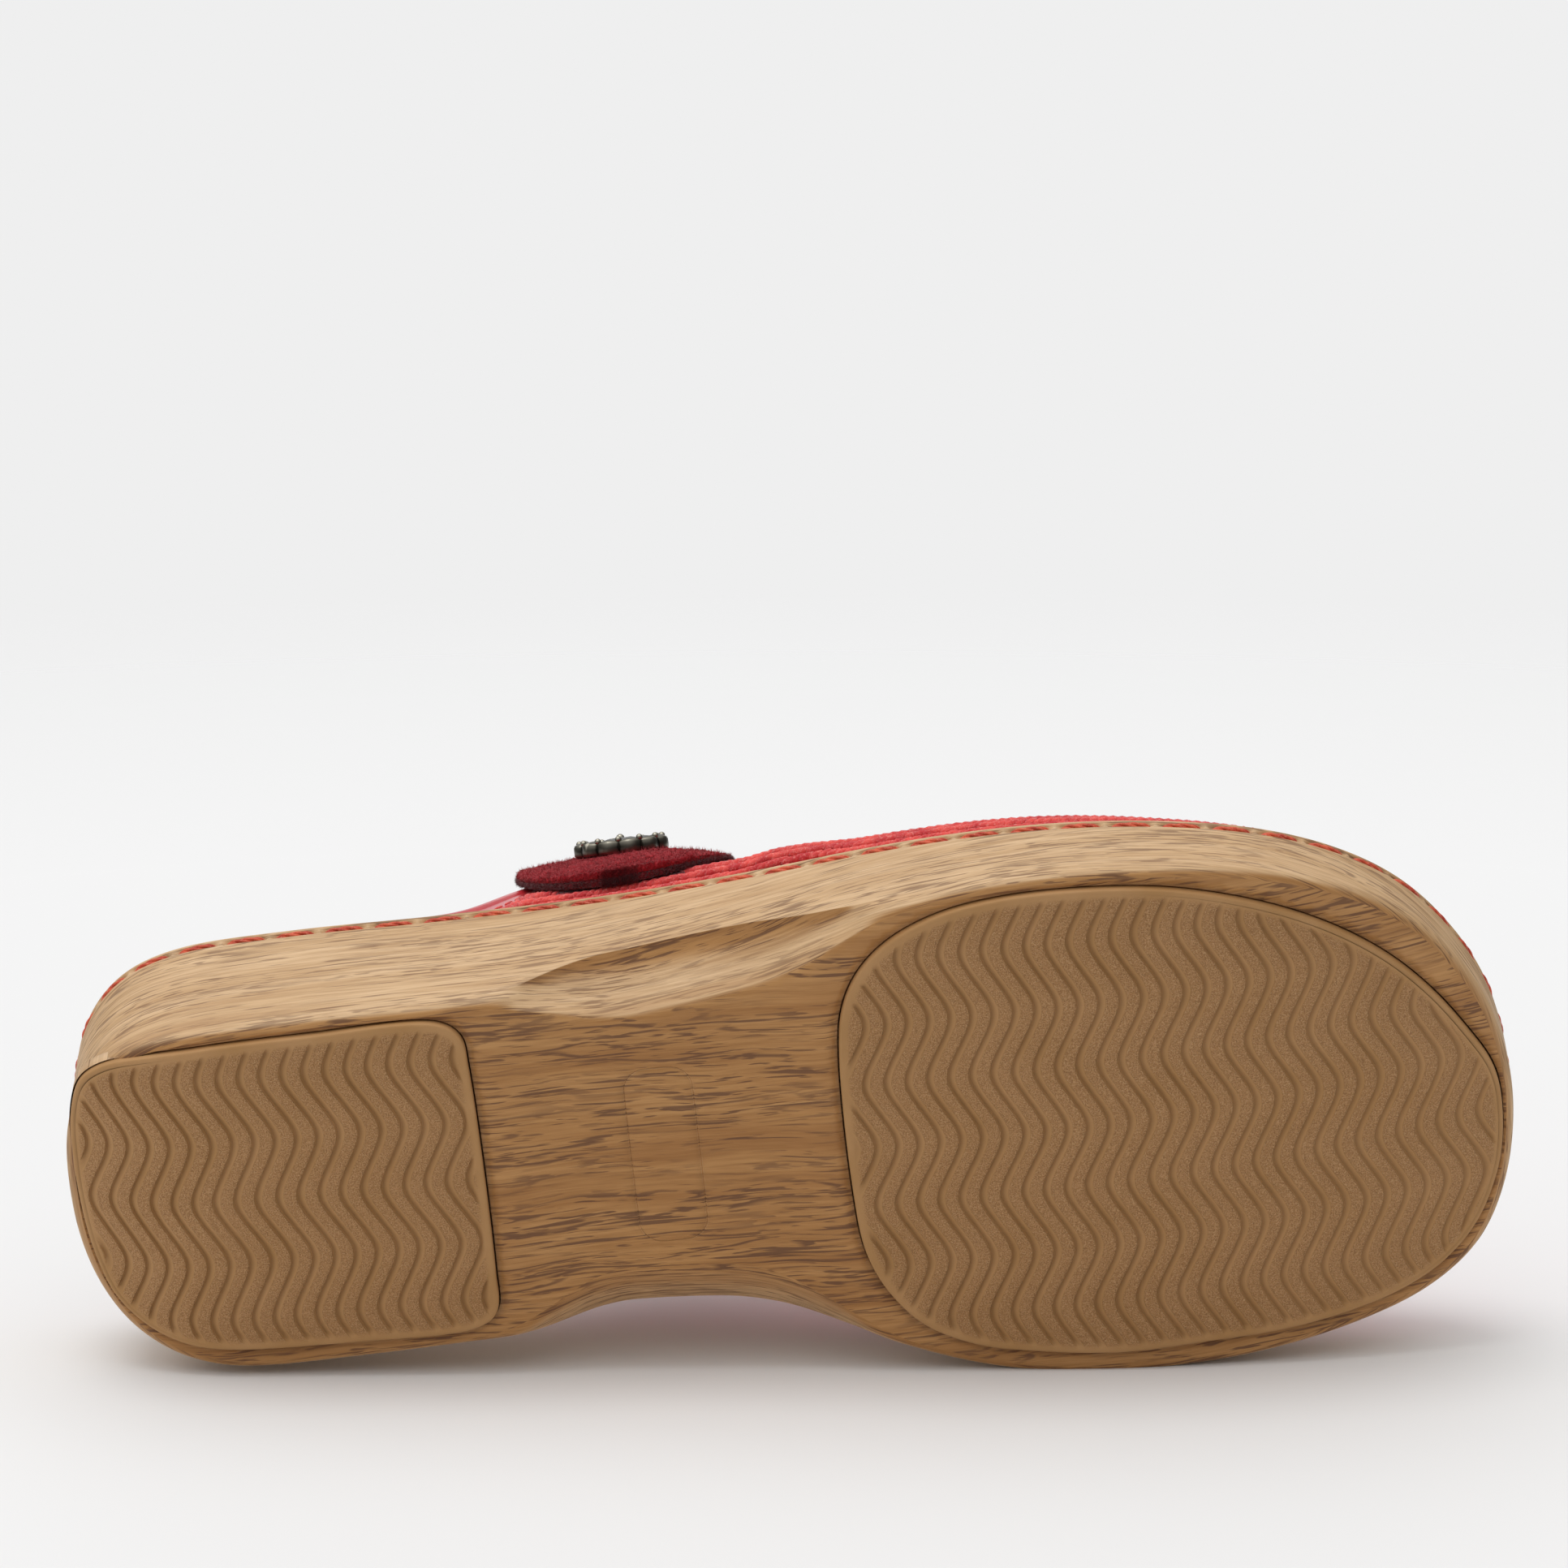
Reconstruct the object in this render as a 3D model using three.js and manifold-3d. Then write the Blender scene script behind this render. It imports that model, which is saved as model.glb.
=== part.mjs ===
// Right-foot open-back clog: a wood-effect moulded cup sole with two inset rubber treads, a leather
// upper sewn round the sole's rim, a layered footbed, and an instep strap that ends in a hook-and-loop tab.
// Millimetres. +X points to the toe, +Y to the inner (medial) side, +Z up. z = 0 is the ground, and the
// origin is under the middle of the footprint.
import * as THREE from 'three';
import { mergeVertices } from 'three/addons/utils/BufferGeometryUtils.js';
import Module from 'manifold-3d';

const wasm = await Module();
wasm.setup();

// ---------------------------------------------------------------- driving dimensions
const GAP = 0.3; // clearance left between pieces that touch

const HEEL_RIM_HEIGHT = 38; // top of the cup's rim round the heel
const RIM_DROP = 16; // how far the rim falls from the heel to the ball of the foot
const RIM_TOE_SPRING = 0.0021; // rise of the rim towards the toe, mm per mm squared
const CUP_WALL = 2.5; // thickness of the cup's standing wall
const RIM_FLARE = 0.5; // how far the rim stands outside the bottom edge
const HEEL_FLOOR = 22; // height of the cup's floor under the heel
const BALL_FLOOR = 8.7; // and under the ball of the foot, before the toe spring
const TOE_SPRING = 0.00225; // rise of the underside towards the toe, mm per mm squared
const TOE_SPRING_START = 45.6;
const REAR_BEVEL = 0.0125; // rise of the underside towards the back edge, mm per mm squared
const REAR_BEVEL_START = -104.4;
const REAR_BEVEL_CURVE = 17; // length of the bevel's curved part; it runs straight after that
const BORDER_HEIGHT = 1.2; // the treads stand this far proud of the sole round them
const WAIST_LIFT = 1.3; // further rise of the sole between the treads

const SCOOP_RISE = 9.5; // hollow carved in the outer side of the waist
const SCOOP_WIDTH = 7.2;
const ARCH_RISE = 8.5; // bevel under the inner arch
const ARCH_WIDTH = 10.4;
const EDGE_BREAK = 1.5; // width of the rounded edge elsewhere

const TREAD_THICKNESS = 3.6;
const GROOVE_HEIGHT = 1.6; // stitch groove under the rim
const GROOVE_DEPTH = 0.9;
const GROOVE_BELOW_RIM = 1.0;

const BOARD_THICKNESS = 1.8;
const BOARD_INSET = 8; // from the outline to the edge of the insole board and of the footbed
const SHANK = { start: -76, end: 14, y: -2, halfWidth: 7, thickness: 1.8 }; // steel strip under the board
const CORE_HEEL = 6.8; // thickness of the footbed's cork core at the heel
const CORE_BALL = 3.4; // and at the ball
const HEEL_DISH = 3.2; // raised edge of the footbed round the heel
const ARCH_BUMP = 5.5; // raised inner arch of the footbed
const FOAM_THICKNESS = 2.0;
const COVER_THICKNESS = 1.0;

const LEATHER = 1.4; // upper leather
const LINING = 1.2;
const TOE_PUFF = 0.8; // stiffener between leather and lining
const UPPER_INSET = CUP_WALL + GAP; // the upper stands against the cup's inner face
const RIDGE_FRONT = { x: 104.6, z: 48 }; // front end of the upper's top line
const RIDGE_SLOPE = 0.27;
const RIDGE_CURVE = 0.0003;
// How far the sides of the upper lean out before they turn in, from the heel to the toe.
const SIDE_BULGE = { heel: -3.4, waist: 5.3, toe: 3 };
const TOE_CAP_START = 70; // from here forwards the sections fan in towards the front of the top line
const THROAT_FORWARD = 13; // the upper's sections lean forwards at the throat by this much
const SEAM_X = 8.6; // where the vamp meets the quarters at the rim
const WING_END_X = -91; // where the quarters run out at the heel
const RAND_HEIGHT = 3; // heel band above the rim
const BINDING_RADIUS = 1.6;

const STRAP = { x: -28.4, halfWidth: 20, layer: 1.7, standOff: 2.0, hinge: 0.6, medialEnd: 0.22 };
const STRAP_HUG = { middle: 0.3, edge: 0.8 }; // how much closer to the upper the strap lies, and its edges
const TAB_LENGTH_IN_V = 0.47; // the tab runs this far down the side of the upper
const HOOK_PATCH = { halfWidth: 12, low: 0.16, high: 0.36, thickness: 0.5 };
const CONCHO = { radius: 8.75, thickness: 3, scallops: 12, depth: 0.7, v: 0.42, bevel: 0.6 };
const SCREW = { radius: 1.6, flange: 4.2, sunk: 0.8, headThickness: 1, intoCap: 1.2 };

const RIM_STEPS = 60; // facets round the sole
const LAYER_ROWS = [0, 0.2, 0.55, 1]; // rows of the cup's floor and of every layer on it, edge to middle

// ---------------------------------------------------------------- curves of the sole
// Plan outline of the sole: back of the heel, outer side, toe, inner side.
const OUTLINE = new THREE.CatmullRomCurve3([
  [-133.7, -0.8], [-132.6, -13.3], [-128.6, -23.8], [-121.6, -31.4], [-111.2, -35.4], [-89, -36.9],
  [-59.4, -37.1], [-37.4, -38.4], [-17.4, -41], [0.6, -44.3], [18.6, -48], [36.6, -50.6],
  [54.6, -51.4], [72.7, -49.8], [89.5, -46], [103.2, -40], [114.7, -31.6], [123.7, -20.3],
  [130, -7.8], [133.2, 6.1], [133.4, 18.1], [131.1, 30.2], [125.8, 40.5], [115.8, 47.3],
  [102.1, 51], [83.2, 53.2], [64.6, 53.2], [46.6, 51.9], [30.6, 48.3], [16.6, 42.9],
  [2.6, 37.8], [-11.4, 34.5], [-27.4, 33], [-53.4, 32.9], [-82.2, 33.9], [-105, 33.9],
  [-117.4, 31.2], [-125.7, 26], [-130.9, 17.5], [-133.2, 8.5],
].map(([x, y]) => new THREE.Vector3(x, y, 0)), true, 'centripetal');
const TOE_T = 19.5 / 40; // the outline's parameter at the tip of the toe

// Outlines of the two treads, as half outlines from front to back: [x, outer side y, inner side y].
const HEEL_TREAD = [
  [-56.9, -24.5, 18], [-57.6, -31, 26.5], [-61.4, -34.1, 29.3], [-85.6, -34.2, 29.8],
  [-105.4, -33.5, 29.2], [-115.6, -32.3, 27.7], [-122.8, -30.2, 24.2], [-127.9, -26.4, 18.4],
  [-130.6, -19.5, 9.5], [-131.6, -10, 0],
];
const FOREFOOT_TREAD = [
  [130.9, 9, 19], [129.5, 3, 26], [125.3, -5, 35], [118.5, -15.5, 41.5], [110.3, -25, 45.2],
  [99.9, -33.5, 47.3], [87.5, -40.5, 48.3], [72.1, -46, 48], [57, -48.3, 47.8], [42, -48.3, 45.8],
  [30, -46.2, 43], [20.6, -41.8, 37.7], [14.6, -36, 30], [11.2, -29, 21.5], [9.9, -20, 8],
];

const ramp = (x, from, to) => THREE.MathUtils.smoothstep(x, from, to);
const bell = (x, start, full, fade, end) => ramp(x, start, full) * (1 - ramp(x, fade, end));
const lerp = THREE.MathUtils.lerp;

// Height of the ground side of the sole above the ground, before the waist is cut.
function spring(x) {
  const front = Math.max(0, x - TOE_SPRING_START);
  const back = Math.max(0, REAR_BEVEL_START - x);
  const curved = Math.min(back, REAR_BEVEL_CURVE);
  const straight = (back - curved) * 2 * REAR_BEVEL * REAR_BEVEL_CURVE;
  return TOE_SPRING * front ** 2 + REAR_BEVEL * curved ** 2 + straight;
}
const underside = (x) => BORDER_HEIGHT + spring(x) + WAIST_LIFT * bell(x, -53, -38, -6, 9);
const rimHeight = (x) =>
  HEEL_RIM_HEIGHT - RIM_DROP * ramp(x, -64, 64) + RIM_TOE_SPRING * Math.max(0, x - 65) ** 2;
const cupFloor = (x) => lerp(HEEL_FLOOR, BALL_FLOOR + spring(Math.max(x, 0)), ramp(x, -64, 50));
const middleLine = (x) => -2 + 0.0004 * Math.max(0, x + 40) ** 2; // bends with the foot's inner edge
const MIDDLE_ENDS = [-104, 92]; // the middle line stops this far along, short of the heel and the toe

// A place on the outline: its point, its inward direction, and whether it is on the outer side.
function station(t) {
  const p = OUTLINE.getPoint(t);
  const along = OUTLINE.getTangent(t);
  const inward = new THREE.Vector3(-along.y, along.x, 0).normalize();
  return { p, inward, outer: t < TOE_T };
}

// The outline's parameter where it passes x on one side.
function outlineAt(x, outer) {
  let [low, high] = outer ? [0.01, TOE_T] : [0.99, TOE_T];
  for (let i = 0; i < 30; i += 1) {
    const middle = (low + high) / 2;
    if (OUTLINE.getPoint(middle).x < x) low = middle;
    else high = middle;
  }
  return low;
}

const inset = ({ p, inward }, distance, z) =>
  new THREE.Vector3(p.x + inward.x * distance, p.y + inward.y * distance, z);

// How wide and how deep the carved hollow or the arch bevel is at a place on the outline.
function waistCut({ p, outer }) {
  const shape = outer ? bell(p.x, -56, -26, -8, 26) : bell(p.x, -60, -32, -16, 20);
  const rise = outer ? bell(p.x, -56, -30, -20, 38) : bell(p.x, -57, -32, -16, 24);
  return {
    width: EDGE_BREAK + (outer ? SCOOP_WIDTH : ARCH_WIDTH) * shape,
    rise: 0.4 + (outer ? SCOOP_RISE : ARCH_RISE) * rise,
  };
}

// ---------------------------------------------------------------- solids
// Turns points and four-sided faces into a closed solid: splits each face along its shorter diagonal,
// welds the points, drops collapsed faces, and faces the solid outwards.
function solid(points, quads) {
  const index = [];
  for (const [a, b, c, d] of quads) {
    const split = points[a].distanceTo(points[c]) < points[b].distanceTo(points[d]) + 1e-6;
    index.push(...(split ? [a, b, c, a, c, d] : [b, c, d, b, d, a]));
  }
  const raw = new THREE.BufferGeometry();
  raw.setAttribute('position', new THREE.Float32BufferAttribute(points.flatMap((p) => [p.x, p.y, p.z]), 3));
  raw.setIndex(index);
  const welded = mergeVertices(raw, 1e-3);
  const v = welded.index.array;
  const kept = [];
  for (let i = 0; i < v.length; i += 3) {
    const [a, b, c] = [v[i], v[i + 1], v[i + 2]];
    if (a !== b && b !== c && c !== a) kept.push(a, b, c);
  }
  return faceOutwards(welded, kept);
}

function faceOutwards(geometry, triangles) {
  const corner = (i) => new THREE.Vector3().fromBufferAttribute(geometry.attributes.position, i);
  let volume = 0;
  for (let i = 0; i < triangles.length; i += 3) {
    const [a, b, c] = [corner(triangles[i]), corner(triangles[i + 1]), corner(triangles[i + 2])];
    volume += a.dot(b.cross(c));
  }
  geometry.setIndex(volume < 0 ? [...triangles].reverse() : triangles);
  geometry.computeVertexNormals();
  return geometry;
}

// A solid from rings of points. The first and last rings are collapsed ones, or the stack is closed.
function ringSolid(rings, stackCloses = false) {
  const count = rings[0].length;
  const quads = [];
  const last = stackCloses ? rings.length : rings.length - 1;
  for (let r = 0; r < last; r += 1) {
    const above = (r + 1) % rings.length;
    for (let i = 0; i < count; i += 1) {
      const next = (i + 1) % count;
      quads.push([r * count + i, r * count + next, above * count + next, above * count + i]);
    }
  }
  return solid(rings.flat(), quads);
}

// A sheet with thickness, from rows of [outer point, inner point] pairs. With closedEnd the last row
// folds onto itself, as the vamp does at the tip of the toe, and gets no edge face.
function sheetSolid(rows, closedEnd = false) {
  const across = rows[0].length;
  const total = rows.length * across;
  const at = (r, c) => r * across + c;
  const quads = [];
  for (let r = 0; r < rows.length - 1; r += 1) {
    for (let c = 0; c < across - 1; c += 1) {
      const face = [at(r, c), at(r, c + 1), at(r + 1, c + 1), at(r + 1, c)];
      quads.push(face, face.map((i) => i + total).reverse());
    }
    for (const c of [0, across - 1]) {
      const face = [at(r, c), at(r + 1, c), at(r + 1, c) + total, at(r, c) + total];
      quads.push(c === 0 ? face : face.reverse());
    }
  }
  for (const r of closedEnd ? [0] : [0, rows.length - 1]) {
    for (let c = 0; c < across - 1; c += 1) {
      const face = [at(r, c), at(r, c) + total, at(r, c + 1) + total, at(r, c + 1)];
      quads.push(r === 0 ? face : face.reverse());
    }
  }
  const flat = rows.flat();
  return solid([...flat.map((pair) => pair[0]), ...flat.map((pair) => pair[1])], quads);
}

function toManifold(geometry) {
  const plain = geometry.clone();
  for (const name of ['normal', 'uv']) plain.deleteAttribute(name);
  const merged = mergeVertices(plain, 1e-4);
  return new wasm.Manifold(new wasm.Mesh({
    numProp: 3,
    vertProperties: Float32Array.from(merged.attributes.position.array),
    triVerts: Uint32Array.from(merged.index.array),
  }));
}

function toGeometry(manifold) {
  const mesh = manifold.getMesh();
  const geometry = new THREE.BufferGeometry();
  geometry.setAttribute('position', new THREE.Float32BufferAttribute(mesh.vertProperties, 3));
  geometry.setIndex([...mesh.triVerts]);
  geometry.computeVertexNormals();
  return geometry;
}

function cut(geometry, ...cutters) {
  const left = cutters.reduce((body, cutter) => body.subtract(toManifold(cutter)), toManifold(geometry));
  return toGeometry(left);
}

const steps = (count) => Array.from({ length: count + 1 }, (_, i) => i / count);

// Places round the outline: both sides at the same x, closer together towards the heel and the toe.
const heelTip = station(0);
const toeTip = station(TOE_T);
const sides = steps(RIM_STEPS / 2).slice(1, -1)
  .map((k) => lerp(heelTip.p.x, toeTip.p.x, 0.5 - 0.5 * Math.cos(k * Math.PI)));
const around = [
  heelTip, ...sides.map((x) => station(outlineAt(x, true))),
  toeTip, ...sides.map((x) => station(outlineAt(x, false))).reverse(),
];

// A point on the way from the outline's inset ring (k = 0) to the middle line of the sole (k = 1).
function towardsMiddle(place, distance, k, z) {
  const x = THREE.MathUtils.clamp(place.p.x, ...MIDDLE_ENDS);
  const point = inset(place, distance, 0).lerp(new THREE.Vector3(x, middleLine(x), 0), k);
  point.z = z(point.x, k, place);
  return point;
}

// A slab whose edges are straight across: a tread, its recess, or the shank.
function slab(stations, low, high, grow = 0) {
  const rows = stations.map(([x, outerY, innerY], i) => {
    const end = i === 0 ? 1 : i === stations.length - 1 ? -1 : 0;
    const forwards = Math.sign(stations[0][0] - stations[stations.length - 1][0]);
    const place = x + end * forwards * grow;
    return [[outerY - grow, low(place)], [innerY + grow, low(place)],
      [innerY + grow, high(place)], [outerY - grow, high(place)]]
      .map(([y, z]) => new THREE.Vector3(place, y, z));
  });
  const ring = rows[0].length;
  const quads = [[3, 2, 1, 0], [0, 1, 2, 3].map((i) => i + (rows.length - 1) * ring)];
  for (let r = 0; r < rows.length - 1; r += 1) {
    for (let i = 0; i < ring; i += 1) {
      const next = (i + 1) % ring;
      quads.push([r * ring + i, r * ring + next, (r + 1) * ring + next, (r + 1) * ring + i]);
    }
  }
  return solid(rows.flat(), quads);
}

// ---------------------------------------------------------------- sole
const treadBack = (x) => spring(x) + TREAD_THICKNESS;
const shankStations = steps(8).map((k) =>
  [lerp(SHANK.end, SHANK.start, k), SHANK.y - SHANK.halfWidth, SHANK.y + SHANK.halfWidth]);
const shankTop = (x) => cupFloor(x) - GAP;
const shankUnder = (x) => shankTop(x) - SHANK.thickness;

function cupSole() {
  const lip = (place, below) => rimHeight(place.p.x) - below;
  const grooveLow = GROOVE_BELOW_RIM + GROOVE_HEIGHT;
  const rings = [
    around.map((place) => towardsMiddle(place, waistCut(place).width, 1, underside)),
    around.map((place) => towardsMiddle(place, waistCut(place).width, 0.5, underside)),
    around.map((place) => towardsMiddle(place, waistCut(place).width, 0, underside)),
    ...[0.3, 0.65, 1].map((k) => around.map((place) => {
      const { width, rise } = waistCut(place);
      const bend = place.outer ? 1 - (1 - k) ** 2.2 : k ** 1.4;
      return inset(place, width * (1 - k), underside(place.p.x) + rise * bend);
    })),
    around.map((place) => inset(place, -RIM_FLARE, lip(place, grooveLow))),
    around.map((place) => inset(place, GROOVE_DEPTH, lip(place, grooveLow))),
    around.map((place) => inset(place, GROOVE_DEPTH, lip(place, GROOVE_BELOW_RIM))),
    around.map((place) => inset(place, -RIM_FLARE, lip(place, GROOVE_BELOW_RIM))),
    around.map((place) => inset(place, -RIM_FLARE, lip(place, 0))),
    around.map((place) => inset(place, CUP_WALL, lip(place, 0))),
    around.map((place) => inset(place, CUP_WALL, cupFloor(place.p.x))),
    ...LAYER_ROWS.map((k) => around.map((place) => towardsMiddle(place, BOARD_INSET, k, cupFloor))),
  ];
  const throughSkin = 4; // the cutters reach this far past the surface that they open
  const recess = (outline) =>
    slab(outline, (x) => spring(x) - throughSkin, (x) => treadBack(x) + GAP, GAP);
  const shankSlot =
    slab(shankStations, (x) => shankUnder(x) - GAP, (x) => cupFloor(x) + throughSkin, GAP);
  return cut(ringSolid(rings), recess(HEEL_TREAD), recess(FOREFOOT_TREAD), shankSlot);
}

// One band that stands for the running stitches in the groove under the rim.
function sidewallThread() {
  const low = GROOVE_BELOW_RIM + GROOVE_HEIGHT - GAP;
  const high = GROOVE_BELOW_RIM + GAP;
  const back = GROOVE_DEPTH - GAP;
  const corners = [[back, low], [-RIM_FLARE, low], [-RIM_FLARE, high], [back, high]];
  const rings = corners.map(([distance, below]) =>
    around.map((place) => inset(place, distance, rimHeight(place.p.x) - below)));
  return ringSolid(rings, true);
}

// ---------------------------------------------------------------- footbed
// A layer inside the cup, between two surfaces: heights over x and the way k to the middle line.
function layer(low, high) {
  const row = (k, z) => around.map((place) => towardsMiddle(place, BOARD_INSET, k, z));
  const under = [...LAYER_ROWS].reverse().map((k) => row(k, low));
  return ringSolid([...under, ...LAYER_ROWS.map((k) => row(k, high))]);
}

const boardLow = (x) => cupFloor(x) + GAP;
const boardHigh = (x) => boardLow(x) + BOARD_THICKNESS;
const coreLow = (x) => boardHigh(x) + GAP;

// The core is dished round the heel and raised along the inner arch.
function coreHigh(x, k, place) {
  const dish = HEEL_DISH * (1 - ramp(x, -70, -20)) * (1 - k) ** 2;
  const arch = place.outer ? 0 : ARCH_BUMP * bell(x, -75, -35, -15, 30) * (1 - k) ** 1.6;
  return coreLow(x) + lerp(CORE_HEEL, CORE_BALL, ramp(x, -70, 40)) + Math.max(dish, arch);
}
const raised = (surface, by) => (x, k, place) => surface(x, k, place) + by;
const foamLow = raised(coreHigh, GAP);
const foamHigh = raised(foamLow, FOAM_THICKNESS);
const coverLow = raised(foamHigh, GAP);
const coverHigh = raised(coverLow, COVER_THICKNESS);

// ---------------------------------------------------------------- upper
function ridgeHeight(x) {
  const back = RIDGE_FRONT.x - x;
  return RIDGE_FRONT.z + RIDGE_SLOPE * back + RIDGE_CURVE * back ** 2;
}
const ridgeLine = (x) => 0.5 + 0.09 * (x + 30);
const toeTipX = toeTip.p.x;

// The point over a place on the rim where the side of the upper reaches the top line.
function ridgeOver(x) {
  const forwards = THROAT_FORWARD * bell(x, -16, 8, 14, 64);
  const share = (RIDGE_FRONT.x - TOE_CAP_START) / (toeTipX - TOE_CAP_START);
  const squeezed = x > TOE_CAP_START ? TOE_CAP_START + (x - TOE_CAP_START) * share : x;
  const ridgeX = squeezed + forwards;
  return new THREE.Vector3(ridgeX, ridgeLine(ridgeX), ridgeHeight(ridgeX));
}

// A point on the upper. v runs from the rim (0) to the top line (1), and below the rim v is negative,
// down to the cup's floor at -1. off moves it outwards from the leather's outer face.
function onUpper(place, v, off = 0) {
  const foot = inset(place, UPPER_INSET, rimHeight(place.p.x));
  if (v < 0) {
    const z = lerp(foot.z, cupFloor(place.p.x) + 2 * GAP, -v);
    return inset(place, UPPER_INSET - off, z);
  }
  const top = ridgeOver(place.p.x);
  const reach = new THREE.Vector3(top.x - foot.x, top.y - foot.y, 0);
  const h = reach.length();
  const rise = top.z - foot.z;
  const bulge = lerp(SIDE_BULGE.heel, SIDE_BULGE.waist, ramp(place.p.x, -70, 10))
    + (SIDE_BULGE.toe - SIDE_BULGE.waist) * ramp(place.p.x, 30, 90);
  const arc = new THREE.CubicBezierCurve(
    new THREE.Vector2(0, 0), new THREE.Vector2(-bulge, 0.34 * rise),
    new THREE.Vector2(0.44 * h, rise), new THREE.Vector2(h, rise),
  );
  const spot = arc.getPoint(v);
  const slope = v > 0.999 ? new THREE.Vector2(1, 0) : arc.getTangent(v);
  reach.normalize();
  const across = spot.x - slope.y * off;
  const z = foot.z + spot.y + slope.x * off;
  return new THREE.Vector3(foot.x + reach.x * across, foot.y + reach.y * across, z);
}

const sideOf = (x, outer) => station(outlineAt(x, outer));
const BELOW = [-1, -0.5]; // the rows of the upper that stand inside the cup
const ARCH_ROWS = [0, 0.1, 0.22, 0.36, 0.5, 0.64, 0.78, 0.9, 1];

// A closed shell over the toe from a seam at x to the tip, between two depths under the outer face.
function toeShell(seamX, from, thickness, rowCount) {
  const start = outlineAt(seamX, true);
  const finish = outlineAt(seamX, false);
  const rows = steps(rowCount).map((k) => {
    const ease = 1 - (1 - k) ** 1.35;
    const sides = [station(lerp(start, TOE_T, ease)), station(lerp(finish, TOE_T, ease))];
    const pair = (place, v) => {
      const depth = from(place.p.x);
      return [onUpper(place, v, -depth), onUpper(place, v, -depth - thickness)];
    };
    const climb = [...BELOW, ...ARCH_ROWS];
    const descent = climb.slice(0, -1).reverse();
    return [...climb.map((v) => pair(sides[0], v)), ...descent.map((v) => pair(sides[1], v))];
  });
  return sheetSolid(rows, true);
}

// How high the quarters stand at x: down to the rim at the heel, and up to the top line at the throat.
function topline(x) {
  const back = THREE.MathUtils.clamp((SEAM_X - x) / (SEAM_X - WING_END_X), 0, 1);
  return 0.03 + 0.97 * (1 - back ** 0.65) * (1 - 0.6 * ramp(-x, 42, 60));
}

function quarter(outer, depth, thickness) {
  const rows = steps(14).map((k) => {
    const x = SEAM_X - 2 * GAP - (SEAM_X - WING_END_X) * k ** 1.6;
    const place = sideOf(x, outer);
    const climb = [...BELOW, ...[0, 0.2, 0.4, 0.6, 0.8, 0.93, 0.985].map((f) => f * topline(x))];
    return climb.map((v) => [onUpper(place, v, -depth), onUpper(place, v, -depth - thickness)]);
  });
  return sheetSolid(rows);
}

// Low leather band round the back of the heel, from one quarter to the other.
function heelRand() {
  const start = outlineAt(WING_END_X - 1, true);
  const finish = outlineAt(WING_END_X - 1, false) - 1;
  const rows = steps(16).map((k) => {
    const place = station((lerp(start, finish, k) + 1) % 1);
    const rim = rimHeight(place.p.x);
    const profile = [[0, cupFloor(place.p.x) + 2 * GAP], [0, rim], [0.9, rim + RAND_HEIGHT]];
    const thickness = LEATHER + GAP + LINING;
    return profile.map(([lean, z]) =>
      [inset(place, UPPER_INSET + lean, z), inset(place, UPPER_INSET + lean + thickness, z)]);
  });
  return sheetSolid(rows);
}

// Rolled binding along the whole top edge, from one wing over the throat to the other.
function collarBinding() {
  const middle = -(LEATHER + LINING + GAP) / 2;
  const side = (outer) => steps(12).slice(1).map((k) => {
    const x = SEAM_X - (SEAM_X - WING_END_X - 2) * k ** 1.6;
    const place = sideOf(x, outer);
    const v = topline(x);
    const edge = onUpper(place, v, middle);
    const inside = onUpper(place, Math.max(v - 0.02, 0), middle);
    const back = sideOf(x - 1, outer);
    const along = onUpper(back, topline(x - 1), middle).sub(edge).normalize();
    const away = edge.clone().sub(inside);
    away.addScaledVector(along, -away.dot(along)).normalize();
    return edge.addScaledVector(away, BINDING_RADIUS + 2 * GAP);
  });
  const throat = onUpper(sideOf(SEAM_X - 2.4 * BINDING_RADIUS, true), 1, middle);
  const route = [...side(true).reverse(), throat, ...side(false)];
  const path = new THREE.CatmullRomCurve3(route, false, 'centripetal');
  const section = new THREE.Shape();
  section.absarc(0, 0, BINDING_RADIUS, 0, 2 * Math.PI);
  return new THREE.ExtrudeGeometry(section, { extrudePath: path, steps: 44, curveSegments: 4 });
}

// ---------------------------------------------------------------- strap and its tab
// Layers of the strap over the upper, as distances outside the leather.
const PILE = [STRAP.standOff, STRAP.standOff + STRAP.layer];
const TOP = [PILE[1] + GAP, PILE[1] + GAP + STRAP.layer];

// A strip of the strap: spots along it are [outer side?, v, half width], in order from the outer side.
function strapStrip(spots, [near, far], columns = 8, hug = STRAP_HUG) {
  const rows = spots.map(([outer, v, halfWidth]) => steps(columns).map((k) => {
    const aside = lerp(-halfWidth, halfWidth, k);
    const place = sideOf(STRAP.x + aside, outer);
    const closer = hug.middle + hug.edge * (aside / STRAP.halfWidth) ** 2;
    return [onUpper(place, v, far - closer), onUpper(place, v, near - closer)];
  }));
  return sheetSolid(rows);
}

const overInstep = [
  ...[0, 0.12, 0.25, 0.4].map((d) => [true, STRAP.hinge + 0.012 + d * 0.97, STRAP.halfWidth]),
  ...[0.88, 0.76, 0.62, 0.48, 0.34, STRAP.medialEnd].map((v) => [false, v, STRAP.halfWidth]),
];
const tabSpots = (margin) => [0, 0.25, 0.45, 0.6, 0.72, 0.82, 0.9, 0.96, 1].map((k) => {
  const round = k > 0.45 ? Math.sqrt(1 - ((k - 0.45) / 0.55) ** 2) : 1;
  const halfWidth = Math.max(STRAP.halfWidth * round, 3.5) - margin;
  return [true, STRAP.hinge - margin * 0.01 - k * (TAB_LENGTH_IN_V - margin * 0.02), halfWidth];
});

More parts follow.
